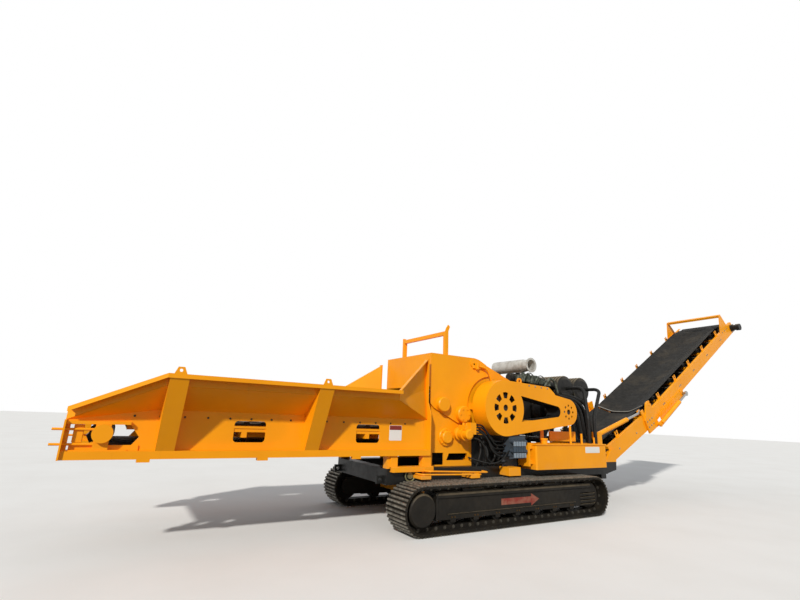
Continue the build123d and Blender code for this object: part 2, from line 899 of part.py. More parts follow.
# Pressure-roller box: side plates with bosses, front plate, lid, tie tube and goal frame
box_arc_radius = 500
box_arc_start = (rotor_x + box_arc_radius * cos(radians(202)), rotor_z + box_arc_radius * sin(radians(202)))
box_arc_middle = (rotor_x + box_arc_radius * cos(radians(145)), rotor_z + box_arc_radius * sin(radians(145)))
box_arc_end = (rotor_x + box_arc_radius * cos(radians(90)), rotor_z + box_arc_radius * sin(radians(90)))
boss_chamfer = 12
with BuildPart() as roller_box:
    with BuildSketch(Plane.XZ.offset(moving_plate_outer)) as box_side:
        with BuildLine():
            Polyline(
                box_arc_end,
                (hinge_x + 280, hinge_z),
                (hinge_x + 130, housing_top - 20),
                (hinge_x + 40, housing_top),
                (housing_front_x, housing_top),
                (housing_front_x, 1660),
                (housing_front_x + 60, 1600),
                (tie_x - 70, 1385),
                (tie_x + 60, 1410),
                box_arc_start,
            )
            ThreePointArc(box_arc_start, box_arc_middle, box_arc_end)
        make_face()
    extrude(box_side.sketch, amount=moving_plate_inner - moving_plate_outer)
    disc((hinge_x, hinge_z), hinge_pin_radius, -moving_plate_outer - 25, -fixed_plate_inner)
    disc((hinge_x, hinge_z), hinge_eye_radius, -moving_plate_outer - 15, -moving_plate_outer)
    for x, z, radius in ((feed_roller_x, feed_roller_z, feed_boss_radius), (tie_x, tie_z, tie_boss_radius)):
        turned(
            (x, z),
            [
                (-moving_plate_outer - boss_reach, radius - boss_chamfer),
                (-moving_plate_outer - boss_reach + boss_chamfer, radius),
                (-moving_plate_outer, radius),
            ],
        )
    disc(
        (feed_roller_x, feed_roller_z),
        feed_shaft_radius + running_fit,
        -moving_plate_outer - boss_reach / 2,
        -moving_plate_inner,
        mode=Mode.SUBTRACT,
    )
    mirror(about=Plane.XZ)
    disc((tie_x, tie_z), tie_radius, -moving_plate_inner, moving_plate_inner)
    block(
        (housing_front_x, housing_front_x + 12),
        (-moving_plate_inner, moving_plate_inner),
        (front_plate_bottom, housing_top),
    )
    block(
        (housing_front_x, hinge_x - 40),
        (-moving_plate_inner, moving_plate_inner),
        (housing_top - 12, housing_top),
    )
    # Goal frame on the lid, with an ear at its right end
    for y in (-goal_bar_half, goal_bar_half - goal_post):
        block((goal_x - goal_post / 2, goal_x + goal_post / 2), (y, y + goal_post), (housing_top, goal_top))
    block(
        (goal_x - goal_post / 2, goal_x + goal_post / 2),
        (-goal_bar_half, goal_bar_half),
        (goal_top - goal_post, goal_top),
    )
    slab(
        [
            (goal_x - goal_post / 2, goal_top),
            (goal_x + goal_post / 2, goal_top),
            (goal_x + goal_post, goal_top + 80),
            (goal_x + goal_post / 2, goal_top + 110),
            (goal_x - 5, goal_top + 60),
        ],
        -goal_bar_half,
        -goal_bar_half + 20,
    )
    block(
        (goal_x - goal_post / 2, goal_x + goal_post / 2),
        (goal_bar_half - 20, goal_bar_half),
        (goal_top, goal_top + 30),
    )
roller_box.part.label = "roller_box"
export_step(roller_box.part, "parts/roller_box.step")

# Pressure roller with its bars
with BuildPart() as feed_roller:
    disc(
        (feed_roller_x, feed_roller_z),
        feed_shaft_radius,
        -moving_plate_outer - boss_reach / 2 + 2,
        moving_plate_outer + boss_reach / 2 - 2,
    )
    disc(
        (feed_roller_x, feed_roller_z),
        feed_roller_radius - feed_roller_bar,
        -feed_roller_half,
        feed_roller_half,
    )
    with BuildSketch(Plane.XZ.offset(feed_roller_half)) as bars:
        with Locations((feed_roller_x, feed_roller_z)):
            with PolarLocations(feed_roller_radius - feed_roller_bar / 2 - 5, 10):
                Rectangle(feed_roller_bar + 10, 20)
    extrude(bars.sketch, amount=-2 * feed_roller_half)
feed_roller.part.label = "feed_roller"
export_step(feed_roller.part, "parts/feed_roller.step")

# Rotor: shaft, drum and hammer bars
with BuildPart() as rotor:
    disc(
        (rotor_x, rotor_z), rotor_shaft_radius, pulley_y - pulley_width / 2, fixed_plate_outer + bearing_reach
    )
    disc((rotor_x, rotor_z), rotor_drum_radius, -rotor_half, rotor_half)
    with BuildSketch(Plane.XZ.offset(rotor_half)) as hammers:
        with Locations((rotor_x, rotor_z)):
            with PolarLocations((rotor_drum_radius + rotor_tip_radius) / 2 - 10, hammer_rows):
                Rectangle(rotor_tip_radius - rotor_drum_radius + 20, 60)
    extrude(hammers.sketch, amount=-2 * rotor_half)
    # Pulley with six spokes
    y = (pulley_y - pulley_width / 2, pulley_y + pulley_width / 2)
    disc((rotor_x, rotor_z), big_pulley_radius, *y)
    disc((rotor_x, rotor_z), big_pulley_radius - 50, *y, mode=Mode.SUBTRACT)
    disc((rotor_x, rotor_z), 110, *y)
    with BuildSketch(Plane.XZ.offset(-y[0] - 60)) as spokes:
        with Locations((rotor_x, rotor_z)):
            with PolarLocations(200, 6):
                Rectangle(220, 60)
    extrude(spokes.sketch, amount=-80)
rotor.part.label = "rotor"
export_step(rotor.part, "parts/rotor.step")

# Engine pulley on the clutch's shaft
with BuildPart() as engine_pulley:
    disc((engine_x, engine_z), small_pulley_radius, pulley_y - pulley_width / 2, pulley_y + pulley_width / 2)
    disc((engine_x, engine_z), 40, pulley_y + pulley_width / 2, -600)
engine_pulley.part.label = "engine_pulley"
export_step(engine_pulley.part, "parts/engine_pulley.step")


def belt_line(extra):
    """The closed line round both pulleys, a given distance outside them."""
    with BuildSketch(Plane.XZ.offset(-pulley_y + pulley_width / 2)) as area:
        with Locations((rotor_x, rotor_z)):
            Circle(big_pulley_radius + extra)
        with Locations((engine_x, engine_z)):
            Circle(small_pulley_radius + extra)
        make_hull()
    return area.sketch


# Drive belts, one closed band round both pulleys
with BuildPart() as drive_belts:
    extrude(belt_line(seat_gap + belt_thickness), amount=-pulley_width)
    extrude(belt_line(seat_gap), amount=-pulley_width, mode=Mode.SUBTRACT)
drive_belts.part.label = "drive_belts"
export_step(drive_belts.part, "parts/drive_belts.step")


def guard_outline(extra):
    """The guard's face: two round ends, a raised top and a slanting foot."""
    with BuildSketch(Plane.XZ.offset(-guard_front_y)) as area:
        with Locations((rotor_x, rotor_z)):
            Circle(guard_big_radius + extra)
        with Locations((engine_x, engine_z)):
            Circle(guard_small_radius + extra)
        make_hull()
        with BuildLine():
            Polyline(
                (rotor_x, rotor_z),
                (rotor_x, rotor_z + guard_big_radius + extra),
                (track_x + 1000, 2030 + extra),
                (track_x + 1120, 1950 + extra),
                (track_x + 1200, 1870 + extra),
                (engine_x + 40, engine_z + guard_small_radius + extra),
                (engine_x, engine_z),
                close=True,
            )
        make_face()
    return area.sketch


# Belt guard: a deep shell open towards the machine, with slots, holes and a tapered window
window_left_radius = 400
window_right = (track_x + 1190, 1630)
window_right_radius = 90
with BuildPart() as belt_guard:
    extrude(guard_outline(0), amount=guard_front_y - guard_back_y)
    extrude(
        guard_outline(-guard_sheet).moved(Location((0, guard_sheet, 0))),
        amount=guard_front_y - guard_back_y,
        mode=Mode.SUBTRACT,
    )

    def window(extra):
        with BuildSketch(Plane.XZ.offset(-guard_front_y)) as area:
            with BuildLine():
                Polyline(
                    (rotor_x, 1840 + extra + 60),
                    (window_right[0], window_right[1] + window_right_radius + extra),
                    (window_right[0], window_right[1] - window_right_radius - extra),
                    (rotor_x, 1440 - extra - 40),
                    close=True,
                )
            make_face()
            with Locations(window_right):
                Circle(window_right_radius + extra)
            with Locations((rotor_x, rotor_z)):
                Circle(window_left_radius - extra, mode=Mode.SUBTRACT)
        return area.sketch

    extrude(window(guard_sheet), amount=guard_front_y - guard_back_y)
    extrude(window(0), amount=guard_front_y - guard_back_y, mode=Mode.SUBTRACT)
    with BuildSketch(Plane.XZ.offset(-guard_front_y)) as holes:
        with Locations((rotor_x, rotor_z)):
            Circle(50)
            with PolarLocations(0, 8):
                Polygon(
                    (150 * cos(radians(14)), -150 * sin(radians(14))),
                    (240 * cos(radians(14)), -240 * sin(radians(14))),
                    (244, 0),
                    (240 * cos(radians(14)), 240 * sin(radians(14))),
                    (150 * cos(radians(14)), 150 * sin(radians(14))),
                    align=None,
                )
        with Locations((engine_x, engine_z)):
            Circle(45)
            with PolarLocations(110, 8):
                Circle(20)
    extrude(holes.sketch, amount=-guard_sheet, mode=Mode.SUBTRACT)
    # Lifting ring on top
    ring_y = (guard_front_y + 130, guard_front_y + 150)
    block((track_x + 390, track_x + 490), ring_y, (2020, 2100))
    disc((track_x + 440, 2100), 50, *ring_y)
    disc((track_x + 440, 2100), 25, *ring_y, mode=Mode.SUBTRACT)
    # Brackets to the housing and to the engine's frame
    block(
        (rotor_x - guard_big_radius, rotor_x - guard_big_radius + 50),
        (guard_back_y, -fixed_plate_outer),
        (rotor_z - 45, rotor_z + 45),
    )
    block(
        (rotor_x - 45, rotor_x + 45),
        (guard_back_y, -fixed_plate_outer),
        (rotor_z - guard_big_radius, rotor_z - guard_big_radius + 50),
    )
    block((engine_x - 410, engine_x - 330), (guard_back_y - 12, guard_back_y), (mount_bottom, 1376))
belt_guard.part.label = "belt_guard"
export_step(belt_guard.part, "parts/belt_guard.step")

# Engine, across the machine: crankcase, sump, heads, covers, manifolds, turbine and clutch housing
crank_half = 270
crank_top = 1820
head_top = 2040
cylinder_count = 6
cylinder_pitch = (engine_y[1] - engine_y[0] - 60) / cylinder_count
turbine_y = 120
with BuildPart() as engine_block:
    block((engine_x - crank_half, engine_x + crank_half), engine_y, (engine_bottom + 160, crank_top))
    slab(
        [
            (engine_x - 180, engine_bottom),
            (engine_x + 180, engine_bottom),
            (engine_x + crank_half, engine_bottom + 160),
            (engine_x - crank_half, engine_bottom + 160),
        ],
        engine_y[0] + 40,
        engine_y[1] - 40,
    )
    for i in range(cylinder_count):
        y = engine_y[0] + 30 + (i + 0.5) * cylinder_pitch
        block((engine_x - 190, engine_x + 190), (y - 80, y + 80), (crank_top, head_top))
        bar((engine_x + 190, y, head_top - 90), (engine_x + 270, y, head_top - 90), 32)
        bar((engine_x - 190, y, head_top - 70), (engine_x - 270, y, head_top - 70), 36)
    block((engine_x - 130, engine_x + 130), (engine_y[0] + 50, engine_y[1] - 50), (head_top, engine_top))
    bar(
        (engine_x + 300, engine_y[0] + 60, head_top - 90),
        (engine_x + 300, engine_y[1] - 60, head_top - 90),
        48,
    )
    bar(
        (engine_x - 310, engine_y[0] + 60, head_top - 70),
        (engine_x - 310, engine_y[1] - 60, head_top - 70),
        55,
    )
    turned(
        (engine_x + 330, head_top + 60),
        [
            (turbine_y - 130, 70),
            (turbine_y - 120, 100),
            (turbine_y - 50, 110),
            (turbine_y - 20, 60),
            (turbine_y + 20, 60),
            (turbine_y + 40, 95),
            (turbine_y + 110, 95),
            (turbine_y + 120, 70),
        ],
    )
    # Exhaust pipe, cut off at the muffler's skin
    bar((engine_x + 330, turbine_y + 75, head_top + 100), (muffler_x, turbine_y + 75, muffler_z), 45)
    disc((muffler_x, muffler_z), muffler_radius, *muffler_y, mode=Mode.SUBTRACT)
    # Generator, starter and oil filters at the sides of the crankcase
    turned((engine_x - 350, 1650), [(420, 70), (430, 85), (580, 85), (590, 70)])
    block((engine_x - 350, engine_x - crank_half), (470, 540), (1630, 1670))
    turned((engine_x + 330, 1480), [(-340, 60), (-60, 60), (-50, 45), (40, 45)])
    for y in (180, 300, 420):
        bar((engine_x + 320, y, 1420), (engine_x + 320, y, 1640), 48)
        block((engine_x + crank_half, engine_x + 370), (y - 50, y + 50), (1640, 1680))
    # Clutch housing, narrowing to the pulley's shaft
    turned(
        (engine_x, engine_z),
        [(-680, 90), (-560, 110), (-540, clutch_radius), (-460, 260), (engine_y[0], 260)],
    )
    disc((engine_x, engine_z), 40 + running_fit, -680, -599, mode=Mode.SUBTRACT)
engine_block.part.label = "engine_block"
export_step(engine_block.part, "parts/engine_block.step")

# Engine frame: posts, cross beams and feet
with BuildPart() as engine_frame:
    for x in (engine_x - engine_half_length + 60, engine_x + engine_half_length - 60):
        block((x - 60, x + 60), (-700, engine_y[1] + 180), (mount_bottom, mount_top))
        for y in (-700, 620):
            block((x - 60, x + 60), (y, y + 80), (beam_top, mount_bottom))
        for y in (engine_y[0] + 60, engine_y[1] - 160):
            block((x - 50, x + 50), (y, y + 100), (mount_top, engine_bottom))
    # Stand of the air filters
    for x in (filter_xs[0] - 60, filter_xs[0] + 260):
        for y in (-stand_post_y, stand_post_y - stand_post):
            block((x - 30, x + 30), (y, y + stand_post), (mount_top, filter_z - filter_radius - 60))
        block((x - 40, x + 40), (-700, 700), (mount_bottom, mount_top))
        for y in (-700, 620):
            block((x - 40, x + 40), (y, y + 80), (beam_top, mount_bottom))
    for y in (-stand_post_y, stand_post_y - stand_post):
        block(
            (filter_xs[0] - 100, filter_xs[1] + 100),
            (y, y + stand_post),
            (filter_z - filter_radius - 60, filter_z - filter_radius),
        )
engine_frame.part.label = "engine_frame"
export_step(engine_frame.part, "parts/engine_frame.step")

# Radiator at the engine's far end, with its fan
with BuildPart() as radiator:
    y = (engine_y[1] + 90, engine_y[1] + 180)
    block((engine_x - 480, engine_x + 480), y, (mount_top, 2180))
    block((engine_x - 440, engine_x + 440), (y[1] - 20, y[1]), (mount_top + 60, 2130), mode=Mode.SUBTRACT)
    for x in (-300, -150, 0, 150, 300):
        block((engine_x + x - 8, engine_x + x + 8), (y[1] - 20, y[1] - 5), (mount_top + 60, 2130))
    disc((engine_x, engine_z), 70, engine_y[1], y[0])
    with BuildSketch(Plane.XZ.offset(-engine_y[1] - 25)) as blades:
        with Locations((engine_x, engine_z)):
            with PolarLocations(190, 8):
                Rectangle(250, 70)
    extrude(blades.sketch, amount=-20)
radiator.part.label = "radiator"
export_step(radiator.part, "parts/radiator.step")

# Muffler across the machine over the engine, its open end to the right
with BuildPart() as muffler:
    turned(
        (muffler_x, muffler_z),
        [
            (muffler_y[0], muffler_radius - 18),
            (muffler_y[0], muffler_radius + 15),
            (muffler_y[0] + 15, muffler_radius + 15),
            (muffler_y[0] + 15, muffler_radius - 12),
            (muffler_y[0] + 160, muffler_radius - 12),
            (muffler_y[0] + 190, muffler_radius),
            (muffler_y[1] - 40, muffler_radius),
            (muffler_y[1], muffler_radius - 50),
        ],
    )
    disc((muffler_x, muffler_z), muffler_radius - 22, muffler_y[0], muffler_y[0] + 170, mode=Mode.SUBTRACT)
    for y in (muffler_y[0] + 250, muffler_y[1] - 150):
        block((muffler_x - 20, muffler_x + 20), (y, y + 30), (engine_top, muffler_z - muffler_radius + 20))
muffler.part.label = "muffler"
export_step(muffler.part, "parts/muffler.step")

# Air filters across the machine, and the intake pipe that leads from them over the engine
with BuildPart() as air_filters:
    for x in filter_xs:
        turned(
            (x, filter_z),
            [
                (-filter_half, filter_radius - 50),
                (-filter_half + 25, filter_radius),
                (filter_half - 25, filter_radius),
                (filter_half, filter_radius - 50),
            ],
        )
    block((filter_xs[0], filter_xs[1]), (-60, 60), (filter_z - 60, filter_z + 60))
    intake_z = engine_top + intake_radius + seat_gap
    bar((intake_x[0], intake_y, intake_z), (intake_x[1], intake_y, intake_z), intake_radius)
    bar((intake_x[1], intake_y, intake_z), (filter_xs[0], intake_y, filter_z), intake_radius)
air_filters.part.label = "air_filters"
export_step(air_filters.part, "parts/air_filters.step")

# Side tanks on the beams, with a groove under the rim, a filler neck and a clamp bracket
with BuildPart() as tanks:
    y = (-tank_outer_y, -beam_outer_y)
    block(tank_x, y, (tank_z[0], tank_z[1] - 30))
    fillet(tanks.edges().filter_by(Axis.Z).sort_by(Axis.Y)[:2], tank_corner)
    block((tank_x[0] + 20, tank_x[1] - 20), (y[0] + 12, y[1]), (tank_z[1] - 30, tank_z[1] - 20))
    block((tank_x[0] - 6, tank_x[1] + 6), (y[0] - 6, y[1]), (tank_z[1] - 20, tank_z[1]))
    bar(
        (tank_x[0] + 300, -tank_outer_y + 90, tank_z[1]),
        (tank_x[0] + 300, -tank_outer_y + 90, tank_z[1] + 60),
        50,
    )
    bar(
        (tank_x[0] + 300, -tank_outer_y + 90, tank_z[1] + 60),
        (tank_x[0] + 300, -tank_outer_y + 90, tank_z[1] + 85),
        60,
    )
    for x, height, radius in tank_posts:
        bar((x, -tank_outer_y + 40, tank_z[1]), (x, -tank_outer_y + 40, tank_z[1] + height), radius)
    mirror(about=Plane.XZ)
tanks.part.label = "tanks"
export_step(tanks.part, "parts/tanks.step")

# Hydraulic feed motor with its gearbox on the housing
motor_x = track_x - 690
motor_z = 1230
with BuildPart() as feed_motor:
    turned(
        (motor_x, motor_z),
        [
            (-fixed_plate_outer - 290, 55),
            (-fixed_plate_outer - 280, 75),
            (-fixed_plate_outer - 190, 75),
            (-fixed_plate_outer - 190, 95),
            (-fixed_plate_outer - 160, 95),
            (-fixed_plate_outer - 150, 82),
            (-fixed_plate_outer - 75, 82),
            (-fixed_plate_outer - 65, 100),
            (-fixed_plate_outer - 25, 100),
            (-fixed_plate_outer - 25, 80),
            (-fixed_plate_outer, 80),
        ],
    )
    block(
        (motor_x + 20, motor_x + 130),
        (-fixed_plate_outer - 280, -fixed_plate_outer - 200),
        (motor_z, motor_z + 170),
    )
    block(
        (motor_x - 60, motor_x + 60),
        (-fixed_plate_outer - 250, -fixed_plate_outer - 100),
        (motor_z + 60, motor_z + 130),
    )
    for dx in (-30, 30):
        bar(
            (motor_x + dx, -fixed_plate_outer - 175, motor_z + 120),
            (motor_x + dx, -fixed_plate_outer - 175, motor_z + 165),
            20,
        )
feed_motor.part.label = "feed_motor"
export_step(feed_motor.part, "parts/feed_motor.step")

# Valve bank on a bracket beside the beam
valve_x = (track_x + 60, track_x + 420)
with BuildPart() as valve_bank:
    block(valve_x, (-beam_outer_y - 190, -beam_outer_y - 60), (920, 1220))
    block((valve_x[0] + 20, valve_x[1] - 20), (-beam_outer_y - 180, -beam_outer_y), (880, 920))
    block((valve_x[0] + 20, valve_x[1] - 20), (-beam_outer_y - 20, -beam_outer_y), (beam_top - 100, 880))
    for z in (1000, 1140):
        for i in range(4):
            x = valve_x[0] + (i + 0.5) * (valve_x[1] - valve_x[0]) / 4
            disc((x, z), 30, -beam_outer_y - 235, -beam_outer_y - 190)
            disc((x, z), 18, -beam_outer_y - 260, -beam_outer_y - 235)
valve_bank.part.label = "valve_bank"
export_step(valve_bank.part, "parts/valve_bank.step")

# Hoses: four from the feed motor to the valve bank, two ducts from the tank's top to the air filters
hose_radius = 12
duct_radius = 32
hose_y = (-895, -865)
motor_face_x = motor_x + 130
duct_xs = [(track_x + 2150, filter_xs[0]), (track_x + 2240, filter_xs[1])]
routes = []
for i in range(4):
    y = hose_y[i % 2]
    routes.append(
        (
            [
                (motor_face_x, y, motor_z + 20 + 40 * i),
                (motor_face_x + 160, y, motor_z + 20 + 40 * i),
                (valve_x[0] - 220, y, 965 + 55 * i),
                (valve_x[0], y, 965 + 55 * i),
            ],
            hose_radius,
            130,
        )
    )
for i, (foot_x, end_x) in enumerate(duct_xs):
    routes.append(
        (
            [
                (foot_x, -900 - 60 * i, tank_z[1]),
                (foot_x, -900 - 60 * i, 1560),
                (end_x, -720, filter_z),
                (end_x, -filter_half, filter_z),
            ],
            duct_radius,
            200,
        )
    )
with BuildPart() as hoses:
    for points, radius, bend in routes:
        with BuildLine() as route:
            FilletPolyline(*points, radius=bend)
        with BuildSketch(Plane(origin=points[0], z_dir=route.line % 0)) as ring:
            Circle(radius)
        sweep(ring.sketch, path=route.line)
    for z in (965, 1010, 1055):
        bar((valve_x[1], hose_y[0], z), (tank_x[0], hose_y[0], z), hose_radius)
hoses.part.label = "hoses"
export_step(hoses.part, "parts/hoses.step")

# Base of the discharge conveyor: side plates, drums and a flat belt
drum_z = base_belt_top - belt_sheet - base_drum_radius
base_drum_xs = (base_front_x + base_drum_radius + belt_sheet, base_rear_x - base_drum_radius - belt_sheet)
with BuildPart() as base_conveyor:
    for y in (-base_plate_outer, base_plate_inner):
        slab(
            rectangle((base_drum_xs[0] - 60, base_drum_xs[1] + 60), (drum_z - 60, base_belt_top + 40)),
            y,
            y + base_plate_outer - base_plate_inner,
        )
    for x in base_drum_xs:
        disc((x, drum_z), base_drum_radius - seat_gap, -belt_half + 20, belt_half - 20)
        disc((x, drum_z), axle_radius, -base_plate_outer, base_plate_outer)
    for x in (base_drum_xs[0] + 300, base_drum_xs[1] - 300):
        for y in (-beam_inner_y, base_plate_outer):
            block((x - 40, x + 40), (y, y + beam_inner_y - base_plate_outer), (drum_z - 50, drum_z + 30))
base_conveyor.part.label = "base_conveyor"
export_step(base_conveyor.part, "parts/base_conveyor.step")

with BuildPart() as base_belt:
    with BuildSketch(Plane.XZ.offset(belt_half)):
        with Locations((sum(base_drum_xs) / 2, drum_z)):
            SlotCenterToCenter(base_drum_xs[1] - base_drum_xs[0], 2 * (base_drum_radius + belt_sheet))
            SlotCenterToCenter(base_drum_xs[1] - base_drum_xs[0], 2 * base_drum_radius, mode=Mode.SUBTRACT)
    extrude(amount=-2 * belt_half)
base_belt.part.label = "base_belt"
export_step(base_belt.part, "parts/base_belt.step")


# Conveyor planes: local x runs up the slope, local y stands off the frame's middle line
def slope_plane(x, z, slope):
    """The side plane of a conveyor part that starts at x and z."""
    return Plane(origin=(x, 0, z), x_dir=(cos(radians(slope)), 0, sin(radians(slope))), z_dir=(0, -1, 0))


def across(plane, s):
    """The plane across a conveyor part, at a distance up its slope."""
    return Plane(origin=plane.from_local_coords((s, 0, 0)), x_dir=(0, 1, 0), z_dir=plane.x_dir)


lower = slope_plane(lift_x, lift_z, lower_slope)
fold_corner = lower.from_local_coords((lower_length, 0, 0))
upper = slope_plane(fold_corner.X, fold_corner.Z, upper_slope)
fold_x = fold_corner.X - fold_pivot_h * sin(radians(upper_slope))
fold_z = fold_corner.Z + fold_pivot_h * cos(radians(upper_slope))


def channel(plane, s, half_depth):
    """The right side channel of a conveyor part, open towards the belt."""
    y = (-conveyor_outer_y, -conveyor_outer_y + channel_flange)
    slab(rectangle(s, (-half_depth, half_depth)), *y, plane=plane)
    slab(
        rectangle((s[0] - 1, s[1] + 1), (-half_depth + channel_web, half_depth - channel_web)),
        y[0] + channel_web,
        y[1],
        plane=plane,
        mode=Mode.SUBTRACT,
    )


def trough(h, thickness):
    """The section of a troughed belt whose middle lies at h."""
    return [
        (-belt_half, h + trough_rise),
        (-trough_half, h),
        (trough_half, h),
        (belt_half, h + trough_rise),
        (belt_half, h + trough_rise + thickness),
        (trough_half, h + thickness),
        (-trough_half, h + thickness),
        (-belt_half, h + trough_rise + thickness),
    ]


def flat(h, thickness):
    """The same section flattened at a drum."""
    return [
        (-belt_half, h),
        (-trough_half, h),
        (trough_half, h),
        (belt_half, h),
        (belt_half, h + thickness),
        (trough_half, h + thickness),
        (-trough_half, h + thickness),
        (-belt_half, h + thickness),
    ]


def section(plane, s, outline):
    """A sketch of an outline in the plane across the conveyor at s."""
    with BuildSketch(across(plane, s)) as face:
        with BuildLine():
            Polyline(*outline, close=True)
        make_face()
    return face.sketch


wing_run = Vector(belt_half - trough_half, trough_rise).normalized()
wing_start = Vector(trough_half, belt_h) + Vector(wing_run.Y, -wing_run.X) * (idler_radius + seat_gap)


def wing_point(plane, s, side, distance):
    """A point on a wing roll's axis, at a distance out from the trough's bend."""
    point = wing_start + wing_run * distance
    return tuple(plane.from_local_coords((s, point.Y, -side * point.X)))


def idler_set(plane, s, shaft_reach):
    """One station: a cross bar with its brackets, a middle roll and two wing rolls with their shafts."""
    top = belt_h - seat_gap
    foot = top - 2 * idler_radius - 50
    slab(
        rectangle((s - 25, s + 25), (foot, foot + 40)),
        -conveyor_outer_y + channel_web,
        conveyor_outer_y - channel_web,
        plane=plane,
    )
    disc((s, top - idler_radius), idler_radius, -trough_half + 20, trough_half - 20, plane=plane)
    for side in (-1, 1):
        bar(wing_point(plane, s, side, 50), wing_point(plane, s, side, 335), idler_radius)
        bar(wing_point(plane, s, side, -32), wing_point(plane, s, side, shaft_reach), idler_shaft_radius)
        for y, height in (
            (trough_half - 14, top - idler_radius + 12), (belt_half + 4, belt_h + trough_rise - 40)
        ):
            slab(rectangle((s - 12, s + 12), (foot, height)), side * y - 6, side * y + 6, plane=plane)


def cradle(plane, s, half_depth):
    """A notched plate on the right channel, in which the wing roll's shaft lies."""
    slab(
        [
            (s - 50, half_depth),
            (s + 50, half_depth),
            (s + 50, cradle_top),
            (s + 17, cradle_top),
            (s + 17, cradle_top - cradle_notch),
            (s - 17, cradle_top - cradle_notch),
            (s - 17, cradle_top),
            (s - 50, cradle_top),
        ],
        -conveyor_outer_y + 43,
        -conveyor_outer_y + 55,
        plane=plane,
    )


# Lower part: channels, cross members, hinge blocks and the pivot pins
frame_cross = 60
with BuildPart() as lower_frame:
    channel(lower, (0, lower_length - 40), lower_half_depth)
    slab(
        rectangle((-100, 140), (-lower_half_depth, 60)),
        -conveyor_outer_y,
        -conveyor_outer_y + channel_flange,
        plane=lower,
    )
    disc((0, 0), pivot_radius, -pivot_plate_y[1], -conveyor_outer_y, plane=lower)
    slab(
        [
            (lower_length - 330, -lower_half_depth - 60),
            (lower_length - 20, -lower_half_depth - 60),
            (fold_base[0] - 50, fold_base[1] - 45),
            (fold_base[0] + 40, fold_base[1] - 45),
            (fold_base[0] + 50, fold_base[1] + 40),
            (lower_length + 60, -40),
            (lower_length + 60, fold_pivot_h - 20),
            (lower_length - 20, fold_pivot_h + 60),
            (lower_length - 120, fold_pivot_h + 40),
            (lower_length - 330, 60),
        ],
        -conveyor_outer_y - 40,
        -conveyor_outer_y - 10,
        plane=lower,
    )
    slab(
        rectangle((lower_length - 320, lower_length - 40), (-lower_half_depth, lower_half_depth)),
        -conveyor_outer_y - 10,
        -conveyor_outer_y,
        plane=lower,
    )
    fold_local = lower.to_local_coords(Vector(fold_x, 0, fold_z))
    disc(
        (fold_local.X, fold_local.Y),
        pivot_radius + running_fit,
        -conveyor_outer_y - 40,
        -conveyor_outer_y - 10,
        plane=lower,
        mode=Mode.SUBTRACT,
    )
    slab(
        rectangle((lift_eye[0] - 50, lift_eye[0] + 50), (lower_half_depth, lower_half_depth + 10)),
        -lift_cylinder_y - 50,
        -lift_cylinder_y + 50,
        plane=lower,
    )
    for y in (-lift_cylinder_y - 50, -lift_cylinder_y + 50 - plate):
        slab(
            rectangle((lift_eye[0] - 50, lift_eye[0] + 50), (lower_half_depth, lift_eye[1] + 45)),
            y,
            y + plate,
            plane=lower,
        )
    disc(lift_eye, pivot_radius, -lift_cylinder_y - 50, -lift_cylinder_y + 50, plane=lower)
    disc(fold_base, pivot_radius, -fold_cylinder_y - 20, -conveyor_outer_y - 40, plane=lower)
    cradle(lower, lower_idler_s[0], lower_half_depth)
    mirror(about=Plane.XZ)
    for s in (300, 1000, lower_length - 140):
        slab(
            rectangle((s, s + frame_cross), (-60, -10)),
            -conveyor_outer_y + channel_web,
            conveyor_outer_y - channel_web,
            plane=lower,
        )
lower_frame.part.label = "lower_frame"
export_step(lower_frame.part, "parts/lower_frame.step")

with BuildPart() as lower_belt:
    extrude(section(lower, seam_gap, trough(belt_h, belt_sheet)), amount=lower_length - 2 * seam_gap)
    extrude(section(lower, 160, flat(return_h, belt_sheet)), amount=lower_length - 160 - seam_gap)
lower_belt.part.label = "lower_belt"
export_step(lower_belt.part, "parts/lower_belt.step")

with BuildPart() as lower_idlers:
    for s, shaft_reach in zip(lower_idler_s, (idler_shaft_reach, short_shaft_reach)):
        idler_set(lower, s, shaft_reach)
        disc(
            (s, return_h - seat_gap - return_radius),
            return_radius,
            -conveyor_outer_y + channel_web,
            conveyor_outer_y - channel_web,
            plane=lower,
        )
lower_idlers.part.label = "lower_idlers"
export_step(lower_idlers.part, "parts/lower_idlers.step")

